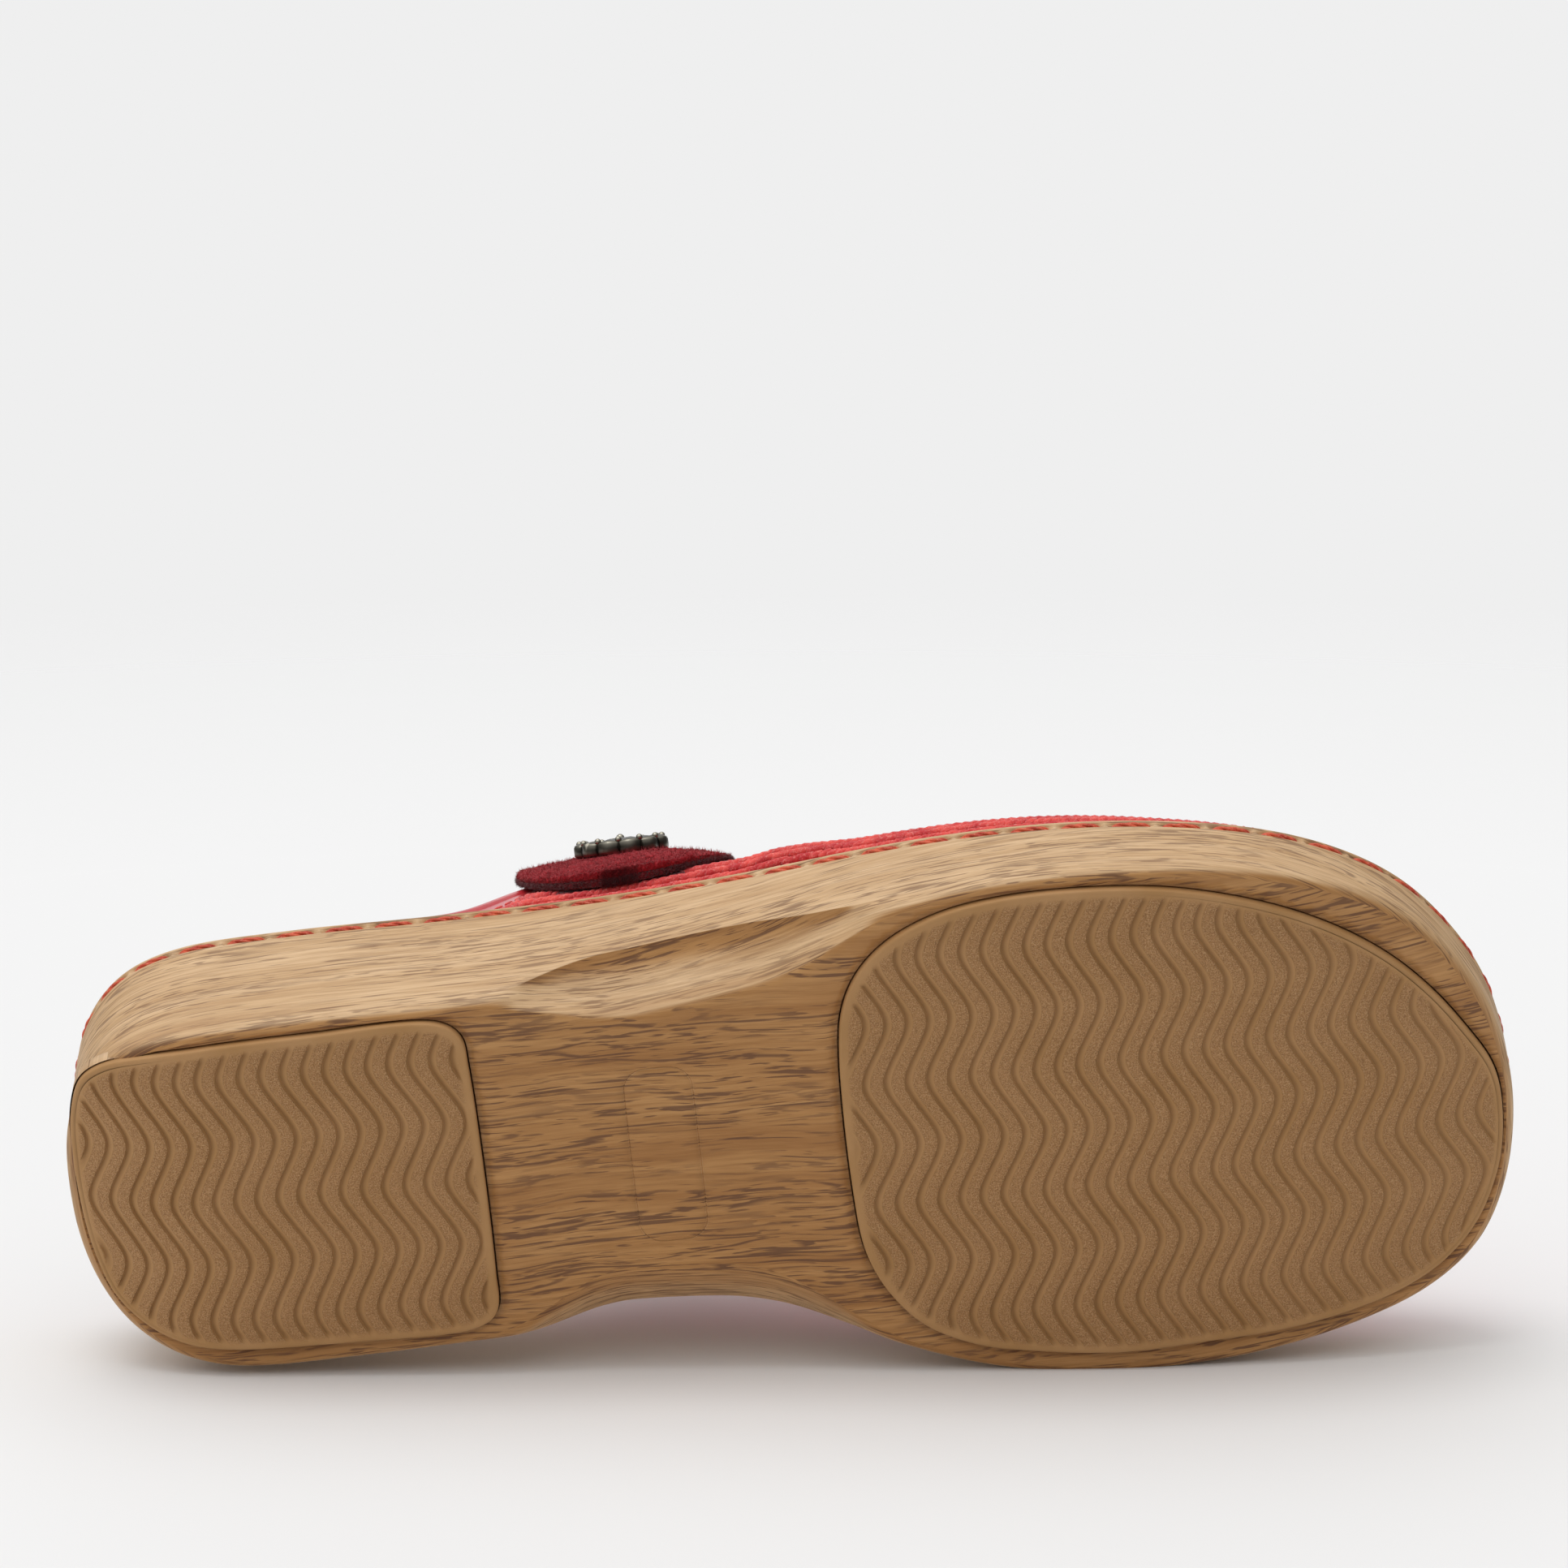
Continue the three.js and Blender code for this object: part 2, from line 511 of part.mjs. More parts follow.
// Stands a piece that is modelled along Z on the tab, pointing straight out of the upper.
function standOnTab(geometry, off) {
  const spot = (x, v) => onUpper(sideOf(STRAP.x + x, true), v, TOP[0] - STRAP_HUG.middle);
  const seat = spot(0, CONCHO.v);
  const forwards = spot(1, CONCHO.v).sub(spot(-1, CONCHO.v));
  const upwards = spot(0, CONCHO.v + 0.02).sub(spot(0, CONCHO.v - 0.02));
  const out = forwards.cross(upwards).normalize();
  seat.addScaledVector(out, off - TOP[0]);
  const turn = new THREE.Quaternion().setFromUnitVectors(new THREE.Vector3(0, 0, 1), out);
  return geometry.clone().applyQuaternion(turn).translate(seat.x, seat.y, seat.z);
}

const disc = (radius, length, sides = 20) =>
  new THREE.CylinderGeometry(radius, radius, length, sides).rotateX(Math.PI / 2).translate(0, 0, length / 2);

function conchoCap() {
  const { bevel } = CONCHO;
  const rim = CONCHO.radius - bevel;
  const petals = new THREE.Shape();
  const points = CONCHO.scallops * 4;
  for (let i = 0; i < points; i += 1) {
    const angle = (i / points) * 2 * Math.PI;
    const r = rim - CONCHO.depth * (0.5 - 0.5 * Math.cos(angle * CONCHO.scallops));
    petals[i ? 'lineTo' : 'moveTo'](r * Math.cos(angle), r * Math.sin(angle));
  }
  const plate = new THREE.ExtrudeGeometry(petals, {
    depth: CONCHO.thickness - 2 * bevel, bevelThickness: bevel, bevelSize: bevel, bevelSegments: 1,
  }).translate(0, 0, bevel);
  const blindHole = disc(SCREW.radius + GAP, SCREW.intoCap + 2 * GAP, 16).translate(0, 0, -GAP);
  return cut(plate, blindHole);
}

// Screw that holds the concho: a flange behind the tab's leather and a post through it.
function conchoScrew() {
  const post = SCREW.sunk + STRAP.layer + GAP + SCREW.intoCap;
  const under = -SCREW.headThickness;
  const profile = [
    [0, under], [SCREW.flange, under], [SCREW.flange, 0], [SCREW.radius, 0], [SCREW.radius, post], [0, post],
  ].map(([r, z]) => new THREE.Vector2(r, z));
  return new THREE.LatheGeometry(profile, 16).rotateX(Math.PI / 2);
}

const throughTab = (radius) => standOnTab(disc(radius, 14), PILE[0] - 5); // cutter through both layers

// ---------------------------------------------------------------- assembly
const leatherRed = { color: 0xc83a3e, roughness: 0.35, metalness: 0 };
const FINISHES = {
  wood_effect: { color: 0xb08a5c, roughness: 0.55, metalness: 0 },
  tread_rubber: { color: 0xb98a5e, roughness: 0.8, metalness: 0 },
  thread: { color: 0xcf4a2c, roughness: 0.8, metalness: 0 },
  board: { color: 0xe0dccf, roughness: 0.9, metalness: 0 },
  steel: { color: 0x9a9ea3, roughness: 0.35, metalness: 1 },
  cork: { color: 0x9c7448, roughness: 0.9, metalness: 0 },
  foam: { color: 0xd9d3c2, roughness: 0.95, metalness: 0 },
  cover_leather: { color: 0xa9744a, roughness: 0.6, metalness: 0 },
  upper_leather: leatherRed,
  lining_leather: { color: 0xc9a988, roughness: 0.75, metalness: 0 },
  stiffener: { color: 0xded6c4, roughness: 0.8, metalness: 0 },
  hook_and_loop: { color: 0xa8232c, roughness: 0.95, metalness: 0 },
  antique_metal: { color: 0x4c4a42, roughness: 0.4, metalness: 1 },
};

const clog = new THREE.Group();
function add(name, finish, geometry) {
  const mesh = new THREE.Mesh(geometry, new THREE.MeshStandardMaterial(FINISHES[finish]));
  mesh.name = name;
  clog.add(mesh);
}

add('cup_sole', 'wood_effect', cupSole());
add('heel_tread', 'tread_rubber', slab(HEEL_TREAD, spring, treadBack));
add('forefoot_tread', 'tread_rubber', slab(FOREFOOT_TREAD, spring, treadBack));
add('sidewall_thread', 'thread', sidewallThread());
add('shank', 'steel', slab(shankStations, shankUnder, shankTop));
add('insole_board', 'board', layer(boardLow, boardHigh));
add('footbed_core', 'cork', layer(coreLow, coreHigh));
add('footbed_foam', 'foam', layer(foamLow, foamHigh));
add('footbed_cover', 'cover_leather', layer(coverLow, coverHigh));

const liningDepth = (x) => LEATHER + GAP + (TOE_PUFF + GAP) * ramp(x, 60, 74);
add('vamp_outer', 'upper_leather', toeShell(SEAM_X, () => 0, LEATHER, 16));
add('vamp_lining', 'lining_leather', toeShell(SEAM_X, liningDepth, LINING, 16));
add('toe_puff', 'stiffener', toeShell(82, () => LEATHER + GAP, TOE_PUFF, 9));
for (const [side, outer] of [['lateral', true], ['medial', false]]) {
  add(`${side}_quarter`, 'upper_leather', quarter(outer, 0, LEATHER));
  add(`${side}_quarter_lining`, 'lining_leather', quarter(outer, LEATHER + GAP, LINING));
}
add('heel_rand', 'upper_leather', heelRand());
add('collar_binding', 'upper_leather', collarBinding());

add('instep_strap', 'upper_leather', strapStrip(overInstep, TOP));
add('instep_strap_lining', 'lining_leather', strapStrip(overInstep, PILE));
add('hook_patch', 'hook_and_loop', strapStrip(
  steps(3).map((k) => [true, lerp(HOOK_PATCH.high, HOOK_PATCH.low, k), HOOK_PATCH.halfWidth]),
  [GAP, GAP + HOOK_PATCH.thickness], 4, { middle: 0, edge: 0 }));
add('strap_tab', 'upper_leather', cut(strapStrip(tabSpots(0), TOP), throughTab(SCREW.radius + GAP)));
add('strap_tab_pile', 'hook_and_loop', cut(strapStrip(tabSpots(0.6), PILE), throughTab(SCREW.flange + GAP)));
add('concho_cap', 'antique_metal', standOnTab(conchoCap(), TOP[1] + GAP / 2));
add('concho_screw', 'antique_metal', standOnTab(conchoScrew(), TOP[0] - SCREW.sunk));

export default clog;
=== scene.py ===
import math

import bmesh
import bpy
import numpy as np
from mathutils import Matrix, Vector
from mathutils.geometry import delaunay_2d_cdt


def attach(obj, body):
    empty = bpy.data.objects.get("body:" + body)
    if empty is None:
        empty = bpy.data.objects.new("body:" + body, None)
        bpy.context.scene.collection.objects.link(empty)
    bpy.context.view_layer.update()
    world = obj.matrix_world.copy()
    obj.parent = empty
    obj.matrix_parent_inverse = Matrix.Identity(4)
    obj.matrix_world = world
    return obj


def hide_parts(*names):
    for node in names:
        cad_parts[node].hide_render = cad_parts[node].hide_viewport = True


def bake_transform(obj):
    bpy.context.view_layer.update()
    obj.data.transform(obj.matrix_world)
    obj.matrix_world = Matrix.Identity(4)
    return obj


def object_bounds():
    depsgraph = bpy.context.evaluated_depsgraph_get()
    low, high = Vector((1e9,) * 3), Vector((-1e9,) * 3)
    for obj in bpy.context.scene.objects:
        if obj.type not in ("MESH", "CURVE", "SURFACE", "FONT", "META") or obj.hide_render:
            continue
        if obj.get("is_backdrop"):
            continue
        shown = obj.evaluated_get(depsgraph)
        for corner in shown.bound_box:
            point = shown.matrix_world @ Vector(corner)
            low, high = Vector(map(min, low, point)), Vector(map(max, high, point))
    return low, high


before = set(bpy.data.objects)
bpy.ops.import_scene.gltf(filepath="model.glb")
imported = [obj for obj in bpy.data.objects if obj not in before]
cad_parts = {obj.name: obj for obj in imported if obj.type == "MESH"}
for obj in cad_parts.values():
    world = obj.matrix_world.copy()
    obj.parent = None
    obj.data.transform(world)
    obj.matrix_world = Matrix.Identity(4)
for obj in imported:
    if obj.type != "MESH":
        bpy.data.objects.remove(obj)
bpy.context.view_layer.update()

# ---------------------------------------------------------------- studio
# The clog lies on its inner side on a pale table, with its sole towards the camera. A soft dome of
# light stands over the outer side. The table is one-sided, so that views from under it see the clog.

MM = 0.001
BACKDROP = "#EFEFEF"


def rgb(code):
    """Linear colour with alpha 1 of an sRGB hex value."""
    values = [int(code[i:i + 2], 16) / 255 for i in (1, 3, 5)]
    return (*(v / 12.92 if v <= 0.04045 else ((v + 0.055) / 1.055) ** 2.4 for v in values), 1)


def node(tree, kind, inputs=None, stops=None, **settings):
    """Adds a shader node with its settings, its ramp stops, and its inputs as values or links."""
    made = tree.nodes.new("ShaderNode" + kind)
    for name, value in settings.items():
        setattr(made, name, value)
    for i, (place, colour) in enumerate(stops or []):
        spots = made.color_ramp.elements
        spot = spots[i] if i < len(spots) else spots.new(place)
        spot.position, spot.color = place, colour
    for socket, value in (inputs or {}).items():
        if isinstance(value, bpy.types.NodeSocket):
            tree.links.new(value, made.inputs[socket])
        else:
            made.inputs[socket].default_value = value
    return made


def material(name):
    """An empty node material and its tree."""
    made = bpy.data.materials.new(name)
    made.use_nodes = True
    made.node_tree.nodes.clear()
    return made, made.node_tree


def facing(azimuth, elevation, roll=0.0):
    """Rotation of a camera that looks back along that direction: columns right, up and back."""
    a, e = math.radians(azimuth), math.radians(elevation)
    right = Vector((math.cos(a), math.sin(a), 0))
    back = Vector((math.sin(a) * math.cos(e), -math.cos(a) * math.cos(e), math.sin(e)))
    level = Matrix((right, back.cross(right), back)).transposed()
    return level @ Matrix.Rotation(math.radians(roll), 3, "Z")


CAMERA_PLACE = Vector((20.7, -489.1, -880.1))  # mm
view = facing(azimuth=2.16, elevation=-64.8, roll=-3.57)
camera = bpy.data.objects.new("camera", bpy.data.cameras.new("camera"))
camera.data.lens = 126.7
camera.data.sensor_width = 36
camera.data.clip_start, camera.data.clip_end = 0.05, 20
camera.matrix_world = Matrix.Translation(CAMERA_PLACE * MM) @ view.to_4x4()
bpy.context.scene.collection.objects.link(camera)
bpy.context.scene.camera = camera
bpy.context.scene.view_settings.view_transform = "Standard"
bpy.context.scene.view_settings.look = "None"

TABLE_TILT = math.radians(10)  # the camera looks down on the table by this much
TOUCH = Vector((75, 53.8, 2))  # where the forefoot's inner edge meets the table, mm
table_up = (view @ Vector((0, math.cos(TABLE_TILT), math.sin(TABLE_TILT)))).normalized()
table_centre = (TOUCH + table_up * -0.6 + Vector((-70, 0, 30))) * MM
table_centre -= table_up * (table_centre - (TOUCH * MM)).dot(table_up)

table = bpy.data.objects.new("table", bpy.data.meshes.new("table"))
table.data.from_pydata([(-3, -3, 0), (3, -3, 0), (3, 3, 0), (-3, 3, 0)], [], [(0, 1, 2, 3)])
table.matrix_world = Matrix.Translation(table_centre) @ table_up.to_track_quat("Z", "Y").to_matrix().to_4x4()
bpy.context.scene.collection.objects.link(table)
table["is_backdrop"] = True

# Matt white table. It is clear from below and fades out 0.5 to 1 m from the clog.
TABLE_WHITE = 0.85
table_finish, tree = material("matt_white_table")
place = node(tree, "TexCoord").outputs["Object"]
away = node(tree, "VectorMath", {0: place}, operation="LENGTH").outputs["Value"]
fade = node(tree, "MapRange", {"Value": away, "From Min": 0.5, "From Max": 1.0}, clamp=True)
under = node(tree, "NewGeometry").outputs["Backfacing"]
clear = node(tree, "Math", {0: fade.outputs[0], 1: under}, operation="MAXIMUM").outputs[0]
paint = node(tree, "BsdfDiffuse", {"Color": (TABLE_WHITE, TABLE_WHITE, TABLE_WHITE, 1)}).outputs[0]
mixed = node(tree, "MixShader", {0: clear, 1: paint, 2: node(tree, "BsdfTransparent").outputs[0]})
node(tree, "OutputMaterial", {"Surface": mixed.outputs[0]})
table.data.materials.append(table_finish)

# Dome: dim all round, bright over the outer side. What the camera sees behind it is plain.
DOME_LOW, DOME_HIGH = 0.10, 1.20
key_direction = (view @ Vector((-0.20, 1.0, 0.34))).normalized()
world = bpy.data.worlds.new("studio")
world.use_nodes = True
bpy.context.scene.world = world
tree = world.node_tree
tree.nodes.clear()
ray = node(tree, "TexCoord").outputs["Generated"]
height = node(tree, "VectorMath", {0: ray, 1: key_direction}, operation="DOT_PRODUCT").outputs["Value"]
lift = node(tree, "MapRange", {"Value": height, "From Min": 0.15, "From Max": 0.95,
                               "To Min": DOME_LOW, "To Max": DOME_HIGH},
            interpolation_type="SMOOTHSTEP").outputs[0]
dome = node(tree, "Background", {"Color": (1, 1, 1, 1), "Strength": lift}).outputs[0]
plain = node(tree, "Background", {"Color": rgb(BACKDROP), "Strength": 1.0}).outputs[0]
seen = node(tree, "LightPath").outputs["Is Camera Ray"]
node(tree, "OutputWorld", {"Surface": node(tree, "MixShader", {0: seen, 1: dome, 2: plain}).outputs[0]})


def sun(name, direction, strength, softness):
    """A sun that shines from a direction, softness degrees wide."""
    lamp = bpy.data.objects.new(name, bpy.data.lights.new(name, "SUN"))
    lamp.data.energy = strength
    lamp.data.angle = math.radians(softness)
    lamp.rotation_mode = "QUATERNION"
    lamp.rotation_quaternion = direction.to_track_quat("Z", "Y")
    bpy.context.scene.collection.objects.link(lamp)
    return lamp


sun("key_light", key_direction, 0.75, 32)
under_light = sun("under_light", Vector((0.0, 0.05, 1.0)), 0.45, 50)
passes = bpy.data.collections.new("clear_to_under_light")
passes.objects.link(table)
under_light.light_linking.blocker_collection = passes
passes.collection_objects[0].light_linking.link_state = "EXCLUDE"

# ---------------------------------------------------------------- cup sole
# Moulded polyurethane cup with a printed wood grain: the underside, the standing wall that the upper
# is sewn to, and the floor that carries the footbed. A groove for the stitches runs under its rim.

OUTLINE = [
    (-133.7, -0.8), (-132.6, -13.3), (-128.6, -23.8), (-121.6, -31.4), (-111.2, -35.4), (-89, -36.9),
    (-59.4, -37.1), (-37.4, -38.4), (-17.4, -41), (0.6, -44.3), (18.6, -48), (36.6, -50.6),
    (54.6, -51.4), (72.7, -49.8), (89.5, -46), (103.2, -40), (114.7, -31.6), (123.7, -20.3),
    (130, -7.8), (133.2, 6.1), (133.4, 18.1), (131.1, 30.2), (125.8, 40.5), (115.8, 47.3),
    (102.1, 51), (83.2, 53.2), (64.6, 53.2), (46.6, 51.9), (30.6, 48.3), (16.6, 42.9),
    (2.6, 37.8), (-11.4, 34.5), (-27.4, 33), (-53.4, 32.9), (-82.2, 33.9), (-105, 33.9),
    (-117.4, 31.2), (-125.7, 26), (-130.9, 17.5), (-133.2, 8.5),
]
CUP_WALL, RIM_FLARE = 2.5, 0.5
EDGE_WIDTH, EDGE_RISE = 1.6, 1.5  # rounded edge of the underside
SCOOP_WIDTH, SCOOP_RISE = 7.2, 9.5  # hollow in the outer side of the waist
ARCH_WIDTH, ARCH_RISE = 10.4, 8.5  # bevel under the inner arch
GROOVE_MIDDLE, GROOVE_HALF, GROOVE_DEPTH = 1.8, 1.1, 0.95  # below the rim, half height, depth
STITCH_PITCH = 9.2


def closed_curve(points, step, soften=0.0):
    """Even points along a smooth closed curve through some points, rounded over soften millimetres."""
    p = np.array(points, float)
    before, after, beyond = np.roll(p, 1, 0), np.roll(p, -1, 0), np.roll(p, -2, 0)
    gap0, gap1, gap2 = (np.linalg.norm(b - a, axis=1)[:, None] ** 0.5
                        for a, b in ((before, p), (p, after), (after, beyond)))
    leave = ((p - before) / gap0 - (after - before) / (gap0 + gap1) + (after - p) / gap1) * gap1
    arrive = ((after - p) / gap1 - (beyond - p) / (gap1 + gap2) + (beyond - after) / gap2) * gap1
    k = np.linspace(0, 1, 40, endpoint=False)[None, :, None]
    p, after, leave, arrive = (a[:, None, :] for a in (p, after, leave, arrive))
    dense = ((2 * k ** 3 - 3 * k ** 2 + 1) * p + (k ** 3 - 2 * k ** 2 + k) * leave
             + (3 * k ** 2 - 2 * k ** 3) * after + (k ** 3 - k ** 2) * arrive).reshape(-1, 2)
    lengths = np.concatenate([[0], np.cumsum(np.linalg.norm(np.roll(dense, -1, 0) - dense, axis=1))])
    dense = np.vstack([dense, dense[:1]])
    count = int(round(lengths[-1] / step))
    at = np.arange(count) * lengths[-1] / count
    even = np.stack([np.interp(at, lengths, dense[:, i]) for i in (0, 1)], 1)
    if soften:
        reach = int(4 * soften / step)
        weight = np.exp(-0.5 * (np.arange(-reach, reach + 1) * step / soften) ** 2)
        weight /= weight.sum()
        even = sum(w * np.roll(even, i, 0) for w, i in zip(weight, range(-reach, reach + 1)))
    return even


def inward(loop):
    """Unit directions pointing into a closed anticlockwise loop of points."""
    along = np.roll(loop, -1, 0) - np.roll(loop, 1, 0)
    along /= np.linalg.norm(along, axis=1)[:, None]
    return np.stack([-along[:, 1], along[:, 0]], 1)


def ramp(x, start, end):
    k = np.clip((x - start) / (end - start), 0, 1)
    return k * k * (3 - 2 * k)


def bell(x, start, full, fade, end):
    return ramp(x, start, full) * (1 - ramp(x, fade, end))


RIM = closed_curve(OUTLINE, 0.5, soften=3.0)
RIM_IN = inward(RIM)
RIM_COUNT = len(RIM)
HEEL_TIP, TOE_TIP = int(np.argmin(RIM[:, 0])), int(np.argmax(RIM[:, 0]))
RIM = np.roll(RIM, -HEEL_TIP, 0)
RIM_IN = np.roll(RIM_IN, -HEEL_TIP, 0)
TOE_TIP = (TOE_TIP - HEEL_TIP) % RIM_COUNT
RIM_LENGTH = RIM_COUNT * float(np.linalg.norm(RIM[1] - RIM[0]))


def outline(t):
    """Place on the sole's outline, as x, y and the inward direction. t counts steps from the heel."""
    t = np.asarray(t, float) % RIM_COUNT
    steps = np.arange(RIM_COUNT + 1)
    wrap = [np.append(a, a[0]) for a in (*RIM.T, *RIM_IN.T)]
    return [np.interp(t, steps, a) for a in wrap]


def side_at(x, outer):
    """Where the outline passes x on its outer or inner side."""
    if outer:
        return np.interp(x, RIM[:TOE_TIP + 1, 0], np.arange(TOE_TIP + 1))
    back_way = np.append(RIM[TOE_TIP:, 0], RIM[0, 0])[::-1]
    return np.interp(x, back_way, np.arange(TOE_TIP, RIM_COUNT + 1)[::-1])


def spring(x):
    """Height of the ground side of the treads: it rises towards the toe and the back of the heel."""
    back = np.maximum(0, -104.4 - x)
    bent = np.minimum(back, 17)
    return 0.00225 * np.maximum(0, x - 45.6) ** 2 + 0.0125 * bent ** 2 + (back - bent) * 0.425


def underside(x):
    return 1.2 + spring(x) + 1.3 * bell(x, -53, -38, -6, 9)


def rim_height(x):
    return 38 - 16 * ramp(x, -64, 64) + 0.0021 * np.maximum(0, x - 65) ** 2


def cup_floor(x):
    return 22 + (8.7 + spring(np.maximum(x, 0)) - 22) * ramp(x, -64, 50)


def middle_line(x):
    return -2 + 0.0004 * np.maximum(0, x + 40) ** 2


def inside(points, loop):
    """Which 2-D points lie inside a closed loop."""
    result = np.zeros(len(points), bool)
    a, b = loop, np.roll(loop, -1, 0)
    for start in range(0, len(points), 2000):
        x, y = points[start:start + 2000, 0, None], points[start:start + 2000, 1, None]
        cross = (a[:, 1] > y) != (b[:, 1] > y)
        with np.errstate(divide="ignore", invalid="ignore"):
            at = a[:, 0] + (y - a[:, 1]) * (b[:, 0] - a[:, 0]) / (b[:, 1] - a[:, 1])
        result[start:start + 2000] = (cross & (x < at)).sum(1) % 2 == 1
    return result


def distance_to(points, loop):
    """Distance from each 2-D point to the nearest point of a finely stepped loop."""
    result = np.empty(len(points))
    for start in range(0, len(points), 2000):
        part = points[start:start + 2000, None, :] - loop[None, :, :]
        result[start:start + 2000] = np.sqrt((part ** 2).sum(2).min(1))
    return result


def tile(outer, holes, lines, points):
    """Triangles that fill a loop round some holes, keeping closed lines and loose points."""
    loops = [outer, *holes, *lines]
    everything = np.vstack([*loops, points])
    edges, start = [], 0
    for loop in loops:
        index = np.arange(start, start + len(loop))
        edges += np.stack([index, np.roll(index, -1)], 1).tolist()
        start += len(loop)
    made = delaunay_2d_cdt([Vector(p) for p in everything], edges, [], 0, 1e-6, False)
    verts = np.array([tuple(v) for v in made[0]])
    faces = np.array(made[2])
    middle = verts[faces].mean(1)
    keep = inside(middle, outer)
    for hole in holes:
        keep &= ~inside(middle, hole)
    return verts, faces[keep]


def grid(rows, columns, wrap=False):
    """Four-sided faces of a grid of points; wrap joins the last column to the first."""
    r = np.arange(rows - 1)[:, None] * columns
    c = np.arange(columns if wrap else columns - 1)[None, :]
    after = (c + 1) % columns
    return np.stack([r + c, r + after, r + columns + after, r + columns + c], -1).reshape(-1, 4)


def build(name, parts, finish, slot, body="clog", replaces=(), weld=True, **marks):
    """One smooth object from (points in mm, faces) parts. It rides on a body and stands for CAD nodes.
    marks are numbers kept with the points for the material."""
    points = np.concatenate([np.reshape(p, (-1, 3)) for p, _ in parts]) * MM
    start, loops, sizes = 0, [], []
    for p, faces in parts:
        loops.append((np.asarray(faces) + start).ravel())
        sizes.append(np.full(len(faces), np.shape(faces)[1]))
        start += np.size(p) // 3
    loops, sizes = np.concatenate(loops), np.concatenate(sizes)
    mesh = bpy.data.meshes.new(name)
    mesh.vertices.add(len(points))
    mesh.vertices.foreach_set("co", points.ravel())
    mesh.loops.add(len(loops))
    mesh.loops.foreach_set("vertex_index", loops)
    mesh.polygons.add(len(sizes))
    mesh.polygons.foreach_set("loop_start", np.cumsum(sizes) - sizes)
    mesh.update(calc_edges=True)
    for mark, values in marks.items():
        values = np.asarray(values, float)
        kind = "FLOAT" if values.ndim == 1 else "FLOAT_VECTOR"
        domain = "CORNER" if len(values) == len(loops) and len(values) != len(points) else "POINT"
        layer = mesh.attributes.new(mark, kind, domain)
        layer.data.foreach_set("value" if kind == "FLOAT" else "vector", values.ravel())
    if weld:
        work = bmesh.new()
        work.from_mesh(mesh)
        bmesh.ops.remove_doubles(work, verts=work.verts, dist=0.00001)
        bmesh.ops.dissolve_degenerate(work, edges=work.edges, dist=0.000002)
        bmesh.ops.recalc_face_normals(work, faces=work.faces)
        work.to_mesh(mesh)
        work.free()
    mesh.polygons.foreach_set("use_smooth", np.ones(len(mesh.polygons), bool))
    made = bpy.data.objects.new(name, mesh)
    mesh.materials.append(finish)
    bpy.context.scene.collection.objects.link(made)
    if replaces:
        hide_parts(*replaces)
    if body:
        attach(made, body)
    return made


# Treads in outline, from front to back: x, outer side y, inner side y.
HEEL_TREAD = [
    (-56.9, -24.5, 18), (-57.6, -31, 26.5), (-61.4, -34.1, 29.3), (-85.6, -34.2, 29.8),
    (-105.4, -33.5, 29.2), (-115.6, -32.3, 27.7), (-122.8, -30.2, 24.2), (-127.9, -26.4, 18.4),
    (-130.6, -19.5, 9.5), (-131.6, -10, 0),
]
FOREFOOT_TREAD = [
    (130.9, 9, 19), (129.5, 3, 26), (125.3, -5, 35), (118.5, -15.5, 41.5), (110.3, -25, 45.2),
    (99.9, -33.5, 47.3), (87.5, -40.5, 48.3), (72.1, -46, 48), (57, -48.3, 47.8), (42, -48.3, 45.8),
    (30, -46.2, 43), (20.6, -41.8, 37.7), (14.6, -36, 30), (11.2, -29, 21.5), (9.9, -20, 8),
]


def tread_loop(stations, grow=0.0):
    """Outline of a tread as an even anticlockwise loop, grown outwards."""
    outer_side = [(x, a) for x, a, _ in stations][::-1]
    inner_side = [(x, b) for x, _, b in stations]
    loop = closed_curve(outer_side + inner_side, 0.25, soften=1.0)
    return loop - inward(loop) * grow


def stadium(centre, half_length, half_width, corner, grow=0.0):
    """Rounded rectangle as a closed loop of points."""
    corner, points = corner + grow, []
    for quarter in range(4):
        sx, sy = ((1, 1), (-1, 1), (-1, -1), (1, -1))[quarter]
        middle = np.array(centre) + [sx * (half_length + grow - corner), sy * (half_width + grow - corner)]
        for angle in np.linspace(0, math.pi / 2, 9) + quarter * math.pi / 2:
            points.append(middle + corner * np.array([math.cos(angle), math.sin(angle)]))
    return closed_curve(points, 0.5)


RECESS_GAP, RECESS_DEPTH, RECESS_EDGE = 0.3, 3.2, 0.35
recesses = [tread_loop(t, grow=RECESS_GAP) for t in (HEEL_TREAD, FOREFOOT_TREAD)]
ENGRAVED = dict(centre=(-23.4, -2), half_length=6.2, half_width=18, corner=4.2)
ENGRAVED_DEPTH, ENGRAVED_HALF = 0.28, 0.26

edge_x, edge_y, edge_ix, edge_iy = (a[None, :] for a in outline(np.arange(RIM_COUNT)))
is_outer = (np.arange(RIM_COUNT) < TOE_TIP)[None, :]
scoop_shape = bell(edge_x, -56, -26, -8, 26)
arch_shape = bell(edge_x, -60, -32, -16, 20)
shape = np.where(is_outer, scoop_shape, arch_shape)
cut_width = EDGE_WIDTH + np.where(is_outer, SCOOP_WIDTH * scoop_shape, ARCH_WIDTH * arch_shape)
cut_rise = EDGE_RISE + np.where(is_outer, SCOOP_RISE * bell(edge_x, -56, -30, -20, 38),
                                ARCH_RISE * bell(edge_x, -57, -32, -16, 24)) - 1.1 * shape

